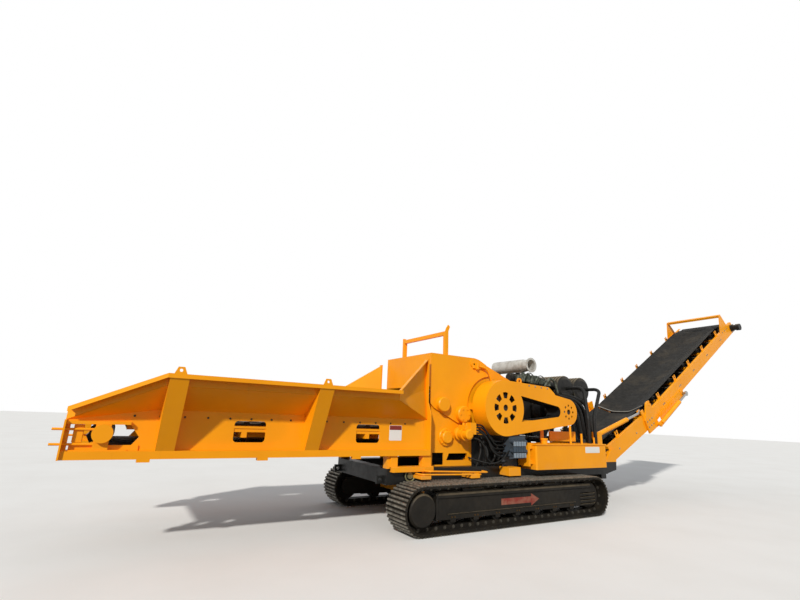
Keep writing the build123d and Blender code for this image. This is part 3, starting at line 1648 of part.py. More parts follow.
# Upper part: channels, cross members, fold ears and the head's goal bracket
with BuildPart() as upper_frame:
    channel(upper, (seam_gap - 5, upper_length), upper_half_depth)
    slab(
        [
            (30, 0),
            (120, fold_pivot_h + 30),
            (40, fold_pivot_h + 50),
            (-40, fold_pivot_h + 40),
            (-50, fold_pivot_h - 30),
        ],
        -conveyor_outer_y - 5,
        -conveyor_outer_y + 20,
        plane=upper,
    )
    slab(
        rectangle((seam_gap - 5, 200), (-upper_half_depth, upper_half_depth)),
        -conveyor_outer_y - 5,
        -conveyor_outer_y,
        plane=upper,
    )
    disc((0, fold_pivot_h), pivot_radius, -conveyor_outer_y - 45, -conveyor_outer_y - 5, plane=upper)
    slab(
        rectangle((fold_eye[0] - 60, fold_eye[0] + 60), (fold_eye[1] - 40, -upper_half_depth + 60)),
        -fold_eye_plate_y,
        -conveyor_outer_y,
        plane=upper,
    )
    for s in upper_idler_s:
        cradle(upper, s, upper_half_depth)
    slab(
        [(4430, upper_half_depth), (4960, upper_half_depth), (4820, head_goal_top), (4730, head_goal_top)],
        -conveyor_outer_y,
        -conveyor_outer_y + 12,
        plane=upper,
    )
    mirror(about=Plane.XZ)
    slab(
        rectangle((4730, 4820), (head_goal_top - 60, head_goal_top)),
        -conveyor_outer_y + 12,
        conveyor_outer_y - 12,
        plane=upper,
    )
    for s in (60, 900, 1800, 2700, 3600, 4500):
        slab(
            rectangle((s, s + frame_cross), (-110, -70)),
            -conveyor_outer_y + channel_web,
            conveyor_outer_y - channel_web,
            plane=upper,
        )
upper_frame.part.label = "upper_frame"
export_step(upper_frame.part, "parts/upper_frame.step")

# Upper belt: a troughed strand, flattened to the head drum, the wrap and the return strand
with BuildPart() as upper_belt:
    extrude(section(upper, seam_gap, trough(belt_h, belt_sheet)), amount=drum_s - 600 - seam_gap)
    loft(
        [
            section(upper, drum_s - 600, trough(belt_h, belt_sheet)).face(),
            section(upper, drum_s - drum_run, flat(drum_radius + seat_gap, belt_sheet)).face(),
        ],
        ruled=True,
    )
    extrude(section(upper, drum_s - drum_run, flat(drum_radius + seat_gap, belt_sheet)), amount=drum_run)
    with BuildSketch(upper.offset(belt_half)) as wrap:
        with Locations((drum_s, 0)):
            Circle(drum_radius + seat_gap + belt_sheet)
            Circle(drum_radius + seat_gap, mode=Mode.SUBTRACT)
        with Locations((drum_s - 500, 0)):
            Rectangle(1000, 1000, mode=Mode.SUBTRACT)
    extrude(wrap.sketch, amount=-2 * belt_half)
    extrude(
        section(upper, seam_gap, flat(-drum_radius - seat_gap - belt_sheet, belt_sheet)),
        amount=drum_s - seam_gap,
    )
upper_belt.part.label = "upper_belt"
export_step(upper_belt.part, "parts/upper_belt.step")

with BuildPart() as upper_idlers:
    for s in upper_idler_s:
        idler_set(upper, s, idler_shaft_reach)
upper_idlers.part.label = "upper_idlers"
export_step(upper_idlers.part, "parts/upper_idlers.step")

# Head drum and its motor
with BuildPart() as head_drum:
    disc((drum_s, 0), drum_radius, -belt_half + 20, belt_half - 20, plane=upper)
    disc(
        (drum_s, 0),
        axle_radius,
        -conveyor_outer_y + channel_web + seat_gap,
        conveyor_outer_y - channel_web - seat_gap,
        plane=upper,
    )
head_drum.part.label = "head_drum"
export_step(head_drum.part, "parts/head_drum.step")

with BuildPart() as head_motor:
    disc((drum_s, 0), 95, -conveyor_outer_y - 60, -conveyor_outer_y, plane=upper)
    disc((drum_s, 0), 75, -conveyor_outer_y - 130, -conveyor_outer_y - 60, plane=upper)
    disc((drum_s, 0), 90, -conveyor_outer_y - 220, -conveyor_outer_y - 130, plane=upper)
    disc((drum_s, 0), 70, conveyor_outer_y, conveyor_outer_y + 50, plane=upper)
head_motor.part.label = "head_motor"
export_step(head_motor.part, "parts/head_motor.step")


def cylinder_plane(base, eye):
    """The side plane of a cylinder, with its local x from the base pin to the rod's eye."""
    run = eye - base
    return Plane(origin=base, x_dir=run, z_dir=(0, -1, 0)), run.length


# Lift cylinders from the chassis to the lower part, fold cylinders from the lower to the upper part
lift_eye_point = lower.from_local_coords((lift_eye[0], lift_eye[1], 0))
fold_base_point = lower.from_local_coords((fold_base[0], fold_base[1], 0))
fold_eye_point = upper.from_local_coords((fold_eye[0], fold_eye[1], 0))
cylinders = (
    ("lift", Vector(lift_base[0], 0, lift_base[1]), lift_eye_point, lift_cylinder_y, lift_barrel_length, 500),
    ("fold", fold_base_point, fold_eye_point, fold_cylinder_y, fold_barrel_length, 780),
)
for name, base, eye, y, barrel_length, rod_inside in cylinders:
    plane, length = cylinder_plane(base, eye)
    with BuildPart() as barrel:
        for middle in (-y, y):
            disc((0, 0), eye_outer, middle - 15, middle + 15, plane=plane)
            start = plane.from_local_coords((eye_outer - 10, 0, -middle))
            end = plane.from_local_coords((barrel_length, 0, -middle))
            bar(tuple(start), tuple(end), cylinder_radius)
            disc(
                (0, 0), pivot_radius + running_fit, middle - 50, middle + 50, plane=plane, mode=Mode.SUBTRACT
            )
            bar(
                tuple(plane.from_local_coords((120, 0, -middle))),
                tuple(end),
                rod_radius + running_fit,
                mode=Mode.SUBTRACT,
            )
    barrel.part.label = f"{name}_barrels"
    export_step(barrel.part, f"parts/{name}_barrels.step")
    with BuildPart() as rod:
        for middle in (-y, y):
            start = plane.from_local_coords((barrel_length - rod_inside, 0, -middle))
            end = plane.from_local_coords((length - eye_outer + 10, 0, -middle))
            bar(tuple(start), tuple(end), rod_radius)
            disc((length, 0), eye_outer, middle - 15, middle + 15, plane=plane)
            if name == "lift":
                disc(
                    (length, 0),
                    pivot_radius + eye_play,
                    middle - 15,
                    middle + 15,
                    plane=plane,
                    mode=Mode.SUBTRACT,
                )
        if name == "fold":
            for pin_y in (-y - 20, fold_eye_plate_y + rod_pin_gap):
                disc(
                    (length, 0),
                    pivot_radius,
                    pin_y,
                    pin_y + y + 20 - fold_eye_plate_y - rod_pin_gap,
                    plane=plane,
                )
    rod.part.label = f"{name}_rods"
    export_step(rod.part, f"parts/{name}_rods.step")
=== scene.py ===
import json
import math
import bmesh
import bpy
from mathutils import Matrix, Vector


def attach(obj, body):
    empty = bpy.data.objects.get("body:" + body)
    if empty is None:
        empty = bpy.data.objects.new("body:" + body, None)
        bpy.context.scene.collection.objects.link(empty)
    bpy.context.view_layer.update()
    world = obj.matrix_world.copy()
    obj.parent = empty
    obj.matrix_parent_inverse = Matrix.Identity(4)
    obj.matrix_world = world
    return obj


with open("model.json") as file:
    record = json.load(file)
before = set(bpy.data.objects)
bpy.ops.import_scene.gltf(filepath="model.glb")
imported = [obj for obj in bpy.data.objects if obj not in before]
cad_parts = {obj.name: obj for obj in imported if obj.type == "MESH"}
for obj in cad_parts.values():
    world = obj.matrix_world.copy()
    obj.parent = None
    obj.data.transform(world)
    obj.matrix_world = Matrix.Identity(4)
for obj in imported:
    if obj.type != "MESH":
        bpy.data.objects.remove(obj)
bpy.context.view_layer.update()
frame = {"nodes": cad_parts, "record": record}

# Places in metres. TRACK_X is the middle of the tracks, from which other places are measured
TRACK_X = -1.768
TRACK_Y = 1.05
TRACK_MIDDLE_Z = 0.305
SPROCKET_X = TRACK_X - 1.73
IDLER_X = TRACK_X + 1.73
FEED_HEAD = (TRACK_X - 0.93, 1.175)
FEED_TAIL = (TRACK_X - 5.29, 1.175)
BOX_BOSS = (TRACK_X - 0.64, 1.52)
# Side faces in Y
FRAME_FACE_Y = 1.18
WALL_Y = 0.75
BOSS_Y = 0.75
FLANGE_Y = 0.635
BEARING_Y = 0.6665
GUARD_Y = -1.0
VALVE_Y = -1.03
TANK_Y = 1.1
CHANNEL_Y = 0.7
HINGE_PLATE_Y = 0.74
# The track loops: shoes and links, and the joints and pins that stand for their gaps.
# The first shoe's place is counted in shoes from the sprocket's lowest point
SHOE_COUNT = 60
FIRST_SHOE = 0.94
SHOE_HALF = 0.225
LINK_HALF = 0.09
LINK_RADIUS = 0.262
GAP_RADIUS = 0.271
GAP_SIZE = (0.014, 0.0016, 0.026)
PIN_RADIUS = 0.240
# The conveyor's middle line: from the lift pivot up the lower part, then up the upper part
LIFT_PIVOT = (TRACK_X + 3.05, 0.896)
LOWER_LENGTH = 1.74
LOWER_SLOPE = math.radians(25.5)
UPPER_SLOPE = math.radians(30)
# Widths and heights of bolt heads
LARGE_BOLT = (0.030, 0.014)
MIDDLE_BOLT = (0.026, 0.012)
SMALL_BOLT = (0.022, 0.010)
HOPPER_BOLT = (0.017, 0.009)
LINK_PIN = (0.034, 0.012)
# The machine's right side is -Y, its left side +Y
SIDES = (-1, 1)

# Blocks of black paint that stand for painted shade, as limits in X, Y and Z where None leaves a
# side open:
# low on the frame, on the housing behind the hoses, and inside the guard
FRAME_PAINTED_SHADE = (((None, None), (None, None), (None, 0.765)),)
HOUSING_PAINTED_SHADE = (((TRACK_X - 0.42, None), (None, 0.0), (None, 1.22)),)
GUARD_PAINTED_SHADE = (
    ((TRACK_X + 0.10, TRACK_X + 1.27), (-0.992, None), (1.47, 1.88)),
    ((TRACK_X + 1.26, TRACK_X + 1.62), (-0.992, None), (1.47, 1.80)),
)

# Colours of paints, rubbers and steels, as sRGB
YELLOW = "#FAA20A"
YELLOW_WORN = "#E08808"
YELLOW_STAIN = "#8A560E"
DUST = "#B9A585"
TRACK_STEEL = "#201D19"
POLISHED_STEEL = "#9C978B"
FRAME_PAINT = "#15120D"
RUBBER = "#1C1B19"
RUBBER_DUSTY = "#302E2A"
HOSE = "#171716"
BLACK = "#1B1B1A"
SILVER = "#C4C2BB"
SCORCHED = "#7A6A5A"
CHROME = "#A9A9A6"
BARE_STEEL = "#77726A"
RUST = "#5B3A24"
VALVE_GREY = "#434C55"
# A pale spool grey, partly painted highlight
SPOOL_GREY_AND_HIGHLIGHT = "#84909A"
RED = "#822F25"
WHITE = "#E8E6E0"
FLOOR = "#F1F0ED"
FLOOR_SHADE = "#E9E7E3"
FLOOR_BOUNCE = "#8C8A85"

# Low, so that black paint doesn't turn grey under the white sky
SPECULAR_LEVEL = 0.22
RELIEF_STRENGTH = 0.6
# Half the width of the soft edge between two paints
PAINT_EDGE = 0.0005


def linear(colour):
    """An sRGB hex colour as linear red, green, blue and alpha."""
    parts = [int(colour[i:i + 2], 16) / 255 for i in (1, 3, 5)]
    curved = (c / 12.92 if c <= 0.04045 else ((c + 0.055) / 1.055) ** 2.4 for c in parts)
    return tuple(curved) + (1.0,)


def add_node(tree, kind, settings=None, values=None, links=None):
    """Add one node, set it and link its inputs."""
    node = tree.nodes.new(kind)
    for name, value in (settings or {}).items():
        setattr(node, name, value)
    for socket, value in (values or {}).items():
        node.inputs[socket].default_value = value
    for socket, source in (links or {}).items():
        tree.links.new(source, node.inputs[socket])
    return node


def new_finish(name):
    """An empty finish, with its tree, its shader and the object's own coordinates."""
    material = bpy.data.materials.new(name)
    material.use_nodes = True
    tree = material.node_tree
    place = add_node(tree, "ShaderNodeTexCoord").outputs["Object"]
    return material, tree, tree.nodes["Principled BSDF"], place


def noise(tree, place, scale, detail=4.0, roughness=0.55):
    """Patches of a given number per metre."""
    values = {"Scale": scale, "Detail": detail, "Roughness": roughness}
    node = add_node(tree, "ShaderNodeTexNoise", values=values, links={"Vector": place})
    return node.outputs["Fac"]


def remap(tree, source, low, high, to_low=0.0, to_high=1.0):
    """A value spread from one span to another."""
    values = {"From Min": low, "From Max": high, "To Min": to_low, "To Max": to_high}
    node = add_node(tree, "ShaderNodeMapRange", values=values, links={"Value": source})
    return node.outputs["Result"]


def calculate(tree, operation, first, second):
    """The result of an operation on a socket and another socket or a number."""
    if isinstance(second, (int, float)):
        node = add_node(tree, "ShaderNodeMath", {"operation": operation}, {1: second}, {0: first})
    else:
        node = add_node(tree, "ShaderNodeMath", {"operation": operation},
                        links={0: first, 1: second})
    return node.outputs[0]


def split(tree, vector):
    """The X, Y and Z of a vector."""
    return add_node(tree, "ShaderNodeSeparateXYZ", links={"Vector": vector}).outputs


def stretched(tree, place, scale):
    """Coordinates scaled along each axis, so that a pattern stretches where the scale is small."""
    node = add_node(tree, "ShaderNodeMapping", values={"Scale": scale}, links={"Vector": place})
    return node.outputs["Vector"]


def blend_colours(tree, share, first, second):
    """A colour that goes from the first to the second, each a hex colour or a socket."""
    node = add_node(tree, "ShaderNodeMix", {"data_type": "RGBA"}, links={"Factor": share})
    for socket, colour in (("A", first), ("B", second)):
        if isinstance(colour, str):
            node.inputs[socket].default_value = linear(colour)
        else:
            tree.links.new(colour, node.inputs[socket])
    return node.outputs["Result"]


def coat(tree, shader, colour, roughness, height, bump_mm, metallic=0.0):
    """Link a finish's colour, roughness and relief to its shader."""
    values = {"Strength": RELIEF_STRENGTH, "Distance": bump_mm / 1000}
    raised = add_node(tree, "ShaderNodeBump", values=values, links={"Height": height})
    tree.links.new(colour, shader.inputs["Base Color"])
    tree.links.new(roughness, shader.inputs["Roughness"])
    tree.links.new(raised.outputs["Normal"], shader.inputs["Normal"])
    shader.inputs["Metallic"].default_value = metallic
    shader.inputs["Specular IOR Level"].default_value = SPECULAR_LEVEL


def inside(tree, place, limits):
    """1 inside a block of limits in X, Y and Z, where None leaves a side open, and 0 outside."""
    parts = split(tree, place)
    share = None
    for axis, pair in zip("XYZ", limits):
        for limit, way in zip(pair, (1, -1)):
            if limit is None:
                continue
            edge = way * PAINT_EDGE
            step = remap(tree, parts[axis], limit - edge, limit + edge)
            share = step if share is None else calculate(tree, "MULTIPLY", share, step)
    return share


def sprayed_enamel(name, colour, worn, dust_height, painted_shade_zones=()):
    """Sprayed enamel on plate: satin, with orange peel, streaks of grime, dust low down and black
    painted shade in the zones given.
    """
    material, tree, shader, place = new_finish(name)
    cloudy = remap(tree, noise(tree, place, 1.3, 6.0), 0.42, 0.72, 0.0, 0.4)
    streaks = noise(tree, stretched(tree, place, (1.0, 1.0, 0.16)), 5.5, 8.0, 0.65)
    grime = remap(tree, streaks, 0.62, 0.84, 0.0, 0.3)
    low = remap(tree, split(tree, place)["Z"], dust_height, 0.0, 0.0, 0.8)
    uneven = remap(tree, noise(tree, place, 7.0, 8.0, 0.7), 0.40, 0.70)
    toned = blend_colours(tree, cloudy, colour, worn)
    stained = blend_colours(tree, grime, toned, YELLOW_STAIN if colour == YELLOW else worn)
    tone = blend_colours(tree, calculate(tree, "MULTIPLY", uneven, low), stained, DUST)
    # Painted shade: black paint over each zone
    for shade_zone in painted_shade_zones:
        tone = blend_colours(tree, inside(tree, place, shade_zone), tone, BLACK)
    # Orange peel of about 6 mm, coarser than the real 2 mm so that it shows
    peel = noise(tree, place, 160.0, 2.0)
    roughness = remap(tree, noise(tree, place, 9.0, 5.0), 0.3, 0.7, 0.34, 0.52)
    coat(tree, shader, tone, roughness, peel, 0.35)
    shader.inputs["Coat Weight"].default_value = 0.06
    shader.inputs["Coat Roughness"].default_value = 0.25
    return material


def settled(tree, place, share):
    """Dust that lies on what faces up, thicker in some places than in others."""
    up = add_node(tree, "ShaderNodeNewGeometry").outputs["Normal"]
    flat = remap(tree, split(tree, up)["Z"], 0.35, 0.9, 0.0, share)
    uneven = remap(tree, noise(tree, place, 5.0, 7.0, 0.65), 0.3, 0.6, 0.35, 1.0)
    return calculate(tree, "MULTIPLY", flat, uneven)


def worn_metal(name, colour, stain, roughness, metallic, share, scale, bump_mm=0.5, dust=0.0):
    """Steel, rubber or plain paint with stains in patches and, where asked, dust on top."""
    material, tree, shader, place = new_finish(name)
    patches = remap(tree, noise(tree, place, scale, 8.0, 0.65), 0.44, 0.72, 0.0, share)
    tone = blend_colours(tree, patches, colour, stain)
    if dust:
        tone = blend_colours(tree, settled(tree, place, dust), tone, DUST)
    rough = remap(tree, noise(tree, place, scale * 5, 5.0), 0.3, 0.7,
                  max(0.06, roughness - 0.1), roughness + 0.14)
    coat(tree, shader, tone, rough, noise(tree, place, scale * 22, 3.0), bump_mm, metallic)
    return material


def loop_radius(tree, place, front_x, rear_x, middle_z):
    """How far a point stands out from the straight line between two wheels' centres."""
    parts = split(tree, place)
    held = add_node(tree, "ShaderNodeClamp", values={"Min": front_x, "Max": rear_x},
                    links={"Value": parts["X"]}).outputs[0]
    along = calculate(tree, "SUBTRACT", parts["X"], held)
    up = calculate(tree, "SUBTRACT", parts["Z"], middle_z)
    offset = add_node(tree, "ShaderNodeCombineXYZ", links={"X": along, "Y": up}).outputs[0]
    length = add_node(tree, "ShaderNodeVectorMath", {"operation": "LENGTH"}, links={0: offset})
    return length.outputs["Value"]


def ground_steel(name, front_x, rear_x, middle_z, tip_radius, tip_depth, dirt):
    """Rolled steel shoes or slats: dark and dirty in the valleys, rubbed bright on the tips."""
    material, tree, shader, place = new_finish(name)
    radius = loop_radius(tree, place, front_x, rear_x, middle_z)
    tips = remap(tree, radius, tip_radius - tip_depth, tip_radius)
    uneven = remap(tree, noise(tree, place, 18.0, 6.0), 0.3, 0.62, 0.15, 0.9)
    rubbed = calculate(tree, "MULTIPLY", tips, uneven)
    soil = remap(tree, noise(tree, place, 6.0, 8.0, 0.7), 0.44, 0.7, 0.0, 0.55)
    dark = blend_colours(tree, soil, TRACK_STEEL, dirt)
    tone = blend_colours(tree, rubbed, dark, POLISHED_STEEL)
    rough = remap(tree, rubbed, 0.0, 1.0, 0.72, 0.4)
    coat(tree, shader, tone, rough, noise(tree, place, 120.0, 3.0), 0.8, 0.45)
    return material


def conveyor_rubber(name, colour, dusty):
    """Woven-core rubber belting: matt, with a little dust and faint lines across the run."""
    material, tree, shader, place = new_finish(name)
    across = noise(tree, stretched(tree, place, (3.0, 0.2, 3.0)), 9.0, 6.0)
    lines = remap(tree, across, 0.42, 0.72, 0.0, 0.6)
    patches = remap(tree, noise(tree, place, 2.2, 8.0, 0.65), 0.50, 0.80, 0.0, 0.08)
    tone = blend_colours(tree, patches, blend_colours(tree, lines, colour, dusty), DUST)
    rough = remap(tree, noise(tree, place, 14.0), 0.3, 0.7, 0.66, 0.86)
    coat(tree, shader, tone, rough, noise(tree, place, 260.0, 2.0), 0.5)
    return material


# Sprayed enamel: an even satin yellow, a little cloudy and streaked, with yard dust low down
yellow_paint = sprayed_enamel("yellow_enamel", YELLOW, YELLOW_WORN, 0.85)
# Rolled shoes: dark, soiled steel in the valleys and thin rubbed lines on the grousers' tips
track_steel = ground_steel("shoe_steel", SPROCKET_X, IDLER_X, TRACK_MIDDLE_Z, 0.305, 0.018,
                           "#40382B")
# Chain slats: rusty brown between, rubbed bright by wood on top
chain_steel = ground_steel("slat_steel", FEED_TAIL[0], FEED_HEAD[0], FEED_HEAD[1], 0.145, 0.012,
                           "#54402C")
# Matt near-black paint under a film of dry mud, so the undercarriage reads as one dark mass
frame_paint = worn_metal("undercarriage_paint", FRAME_PAINT, "#332D24", 0.6, 0.0, 0.5, 3.0,
                         0.5, 0.5)
# Belting: matt rubber with faint cross lines of wear and a touch of dust
black_rubber = conveyor_rubber("belt_rubber", RUBBER, RUBBER_DUSTY)
# Satin black paint with browner patches where heat and dust have dulled it
black_paint = worn_metal("black_enamel", BLACK, "#2E2B27", 0.45, 0.0, 0.5, 4.0, 0.5, 0.3)
# A pale, scuffed rubber edge that marks the upper belt's foot
lip_rubber = worn_metal("lip_rubber", "#8E8B83", "#6A675F", 0.7, 0.0, 0.5, 6.0, 0.2)
# Filter shells: brownish dust on the ribs' tops over matt black
dusty_black = worn_metal("dusty_rubber", "#262420", "#5A5342", 0.6, 0.0, 0.7, 9.0, 0.5, 0.6)
# Hose covers: smooth black with a dull shine, slightly greyed
hose_rubber = worn_metal("hose_rubber", HOSE, "#292724", 0.55, 0.0, 0.4, 6.0, 0.2)
# Aluminised steel: pale silver, scorched brown-grey in clouds
muffler_steel = worn_metal("aluminised_steel", SILVER, SCORCHED, 0.45, 0.35, 0.6, 7.0)
# Rods: hard chrome with a mirror-like shine and faint haze
chrome = worn_metal("chromed_rod", CHROME, "#8E8B84", 0.16, 1.0, 0.25, 6.0, 0.05)
# Turned steel: grey metal with rust in blotches
bare_steel = worn_metal("turned_steel", BARE_STEEL, RUST, 0.45, 0.8, 0.6, 5.0)
# Valve bodies: blue-grey enamel dirtied by oil
valve_grey = worn_metal("valve_enamel", VALVE_GREY, "#3B3A36", 0.45, 0.1, 0.5, 9.0)
# The darker middle of the valve sections, oily blue-black
section_grey = worn_metal("section_enamel", "#3E4A55", "#2B2E30", 0.4, 0.1, 0.5, 14.0)
# Spool caps: lighter grey castings, kept pale as a painted highlight of glints on them, with dark
# grime between
spool_grey_and_highlight = worn_metal("spool_enamel", SPOOL_GREY_AND_HIGHLIGHT, "#6D747A", 0.4, 0.2, 0.5, 14.0)
# Engine castings: green-grey paint with pale grey-green patches in spots, which are painted glints
# of light
casting_grey = worn_metal("engine_casting", "#3C423A", "#8D9384", 0.55, 0.2, 0.8, 16.0)
# The frame's end cap: dull yellow-green zinc plating
cap_zinc = worn_metal("passivated_zinc", "#8F8A62", "#4E4A36", 0.45, 0.4, 0.6, 12.0)
# Link pins: half-polished steel ends in dirt
link_pin_steel = worn_metal("link_pin_steel", "#57534B", "#3A3630", 0.5, 0.6, 0.5, 14.0)
# Plated bolt heads, small grey glints on the yellow
bolt_zinc = worn_metal("zinc_bolts", "#A9A393", "#6A5A3C", 0.4, 0.8, 0.5, 14.0)
# Blacked bolt heads with rust, dark dots along the hopper
bolt_black = worn_metal("blacked_bolts", "#4A3820", "#7A5218", 0.5, 0.4, 0.5, 14.0)
# Red arrow paint, faded in patches
sign_red = sprayed_enamel("red_enamel", RED, "#7E3028", 0.6)
# White label plates, slightly soiled
sign_white = sprayed_enamel("white_enamel", WHITE, "#D5D2CA", 0.3)
# The yellow enamel with black paint low on the frame as painted shade, which sets the deck off from
# the tracks
frame_enamel_painted_shade = sprayed_enamel("frame_enamel_painted_shade", YELLOW, YELLOW_WORN, 0.85, FRAME_PAINTED_SHADE)
# The yellow enamel with black painted shade on the housing behind the hoses, so that they stand in
# the dark
housing_enamel_painted_shade = sprayed_enamel("housing_enamel_painted_shade", YELLOW, YELLOW_WORN, 0.85, HOUSING_PAINTED_SHADE)
# The yellow enamel with black painted shade inside, so that the spokes and the window read as
# openings
guard_enamel_painted_shade = sprayed_enamel("guard_enamel_painted_shade", YELLOW, YELLOW_WORN, 0.85, GUARD_PAINTED_SHADE)

FINISHES = {
    "yellow_paint": yellow_paint, "track_steel": track_steel, "frame_paint": frame_paint,
    "black_rubber": black_rubber, "black_paint": black_paint, "muffler_steel": muffler_steel,
    "chrome": chrome, "bare_steel": bare_steel, "valve_grey": valve_grey,
}
OWN_FINISHES = {
    "feed_chain": chain_steel, "hoses": hose_rubber, "head_motor": black_paint,
    "main_frame": frame_enamel_painted_shade, "housing_plates": housing_enamel_painted_shade, "belt_guard": guard_enamel_painted_shade,
}


def paint_nodes():
    """Give every carried-over node the finish of its material slot, or its own."""
    for subpart in frame["record"]["subparts"]:
        node = subpart["node"]
        materials = frame["nodes"][node].data.materials
        materials.clear()
        materials.append(OWN_FINISHES.get(node, FINISHES[subpart["material_slot"]]))


paint_nodes()


def finish_piece(piece, body, material=None):
    """Link a new piece, ride it on its body and take its finish."""
    bpy.context.scene.collection.objects.link(piece)
    if material:
        piece.data.materials.clear()
        piece.data.materials.append(material)
    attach(piece, body)


def solid_object(name, shape, bevel):
    """A new object of a finished shape, whose edges are bevelled where asked."""
    if bevel:
        bmesh.ops.bevel(shape, geom=shape.edges[:], offset=bevel, segments=1, affect="EDGES")
    mesh = bpy.data.meshes.new(name)
    shape.to_mesh(mesh)
    shape.free()
    return bpy.data.objects.new(name, mesh)


def plain_object(name, carrier):
    """A new object of the plain mesh that a carrier's curve or Geometry Nodes make."""
    bpy.context.scene.collection.objects.link(carrier)
    bpy.context.view_layer.update()
    ready = carrier.evaluated_get(bpy.context.evaluated_depsgraph_get())
    mesh = bpy.data.meshes.new_from_object(ready)
    mesh.name = name
    bpy.data.objects.remove(carrier)
    return bpy.data.objects.new(name, mesh)


# Forms that Geometry Nodes place on points, which know which way they face
def new_tree(name, inputs):
    """A tree of Geometry Nodes with its sockets, and its start. Inputs are names with kinds."""
    tree = bpy.data.node_groups.new(name, "GeometryNodeTree")
    face = tree.interface
    for socket, kind in (("Geometry", "Geometry"), *inputs, ("Finish", "Material")):
        face.new_socket(socket, in_out="INPUT", socket_type="NodeSocket" + kind)
    face.new_socket("Geometry", in_out="OUTPUT", socket_type="NodeSocketGeometry")
    return tree, add_node(tree, "NodeGroupInput").outputs


def place_on_points(tree, start, form):
    """End a tree: its form stands on every point, turned to the point's facing, in its finish."""
    facing = add_node(tree, "GeometryNodeInputNamedAttribute", {"data_type": "FLOAT_VECTOR"},
                      {"Name": "facing"})
    turn = add_node(tree, "FunctionNodeAlignRotationToVector", {"axis": "Z"},
                    links={"Vector": facing.outputs["Attribute"]})
    placed = add_node(tree, "GeometryNodeInstanceOnPoints", links={
        "Points": start["Geometry"], "Instance": form, "Rotation": turn.outputs["Rotation"]})
    real = add_node(tree, "GeometryNodeRealizeInstances",
                    links={"Geometry": placed.outputs["Instances"]})
    painted = add_node(tree, "GeometryNodeSetMaterial",
                       links={"Geometry": real.outputs["Geometry"], "Material": start["Finish"]})
    add_node(tree, "NodeGroupOutput", links={"Geometry": painted.outputs["Geometry"]})
    return tree


def bolt_tree():
    """Hexagon heads on round washers."""
    tree, start = new_tree("bolt_heads", (("Head Width", "Float"), ("Head Height", "Float")))
    width, height = start["Head Width"], start["Head Height"]
    head = add_node(tree, "GeometryNodeMeshCylinder", values={"Vertices": 6},
                    links={"Radius": calculate(tree, "MULTIPLY", width, 0.5), "Depth": height})
    lift = add_node(tree, "ShaderNodeCombineXYZ",
                    links={"Z": calculate(tree, "MULTIPLY", height, 0.5)})
    raised = add_node(tree, "GeometryNodeTransform",
                      links={"Geometry": head.outputs["Mesh"], "Translation": lift.outputs[0]})
    # The washer's radius and depth, as shares of the head's width and height
    radius_share, depth_share = 0.72, 0.3
    washer = add_node(tree, "GeometryNodeMeshCylinder", values={"Vertices": 12},
                      links={"Radius": calculate(tree, "MULTIPLY", width, radius_share),
                             "Depth": calculate(tree, "MULTIPLY", height, depth_share)})
    both = add_node(tree, "GeometryNodeJoinGeometry")
    tree.links.new(raised.outputs[0], both.inputs[0])
    tree.links.new(washer.outputs["Mesh"], both.inputs[0])
    return place_on_points(tree, start, both.outputs[0])


def ring_tree():
    """Hoops of round wire."""
    tree, start = new_tree("wire_rings", (("Ring Radius", "Float"), ("Wire Radius", "Float")))
    circle = add_node(tree, "GeometryNodeCurvePrimitiveCircle", values={"Resolution": 48},
                      links={"Radius": start["Ring Radius"]})
    wire = add_node(tree, "GeometryNodeCurvePrimitiveCircle", values={"Resolution": 8},
                    links={"Radius": start["Wire Radius"]})
    hoop = add_node(tree, "GeometryNodeCurveToMesh", links={
        "Curve": circle.outputs["Curve"], "Profile Curve": wire.outputs["Curve"]})
    return place_on_points(tree, start, hoop.outputs["Mesh"])


def gap_tree():
    """Thin dark joints between shoes."""
    tree, start = new_tree("shoe_gaps", (("Gap Size", "Vector"),))
    strip = add_node(tree, "GeometryNodeMeshCube", links={"Size": start["Gap Size"]})
    return place_on_points(tree, start, strip.outputs["Mesh"])


BOLT_HEADS = bolt_tree()
WIRE_RINGS = ring_tree()
SHOE_GAPS = gap_tree()


def placed_forms(name, tree, places, inputs):
    """The object that a tree makes on places, each a point and the direction of its facing."""
    mesh = bpy.data.meshes.new(name + "_points")
    mesh.from_pydata([point for point, _ in places], [], [])
    facing = mesh.attributes.new("facing", "FLOAT_VECTOR", "POINT")
    for i, (_, direction) in enumerate(places):
        facing.data[i].vector = direction
    carrier = bpy.data.objects.new(name, mesh)
    modifier = carrier.modifiers.new("form", "NODES")
    modifier.node_group = tree
    for item in tree.interface.items_tree:
        if item.in_out == "INPUT" and item.name in inputs:
            modifier[item.identifier] = inputs[item.name]
    return plain_object(name, carrier)


def bolts(name, body, places, size, finish):
    """Bolt heads of a width and a height, which face along their places' directions."""
    inputs = {"Head Width": size[0], "Head Height": size[1], "Finish": finish}
    finish_piece(placed_forms(name, BOLT_HEADS, places, inputs), body)


def rings(name, places, radius, wire, finish):
    """Wire rings on the chassis, whose axes lie along their places' directions."""
    inputs = {"Ring Radius": radius, "Wire Radius": wire, "Finish": finish}
    finish_piece(placed_forms(name, WIRE_RINGS, places, inputs), "chassis")


# Places for these forms
def row(start, end, count, facing):
    """Evenly spaced places along a straight line."""
    a, b = Vector(start), Vector(end)
    return [(a.lerp(b, i / (count - 1)), facing) for i in range(count)]


def ring(centre, radius, y, count):
    """Places round a circle on a side face, whose centre is given in X and Z."""
    side = math.copysign(1, y)
    angles = [math.radians(360 * i / count) for i in range(count)]
    return [((centre[0] + radius * math.cos(a), y, centre[1] + radius * math.sin(a)), (0, side, 0))
            for a in angles]


def slope_point(upper, s, h, y):
    """A point of the conveyor: its distance up the slope, its height off the line and its Y."""
    x, z = LIFT_PIVOT
    if upper:
        x += LOWER_LENGTH * math.cos(LOWER_SLOPE)
        z += LOWER_LENGTH * math.sin(LOWER_SLOPE)
    angle = UPPER_SLOPE if upper else LOWER_SLOPE
    return (x + s * math.cos(angle) - h * math.sin(angle), y,
            z + s * math.sin(angle) + h * math.cos(angle))


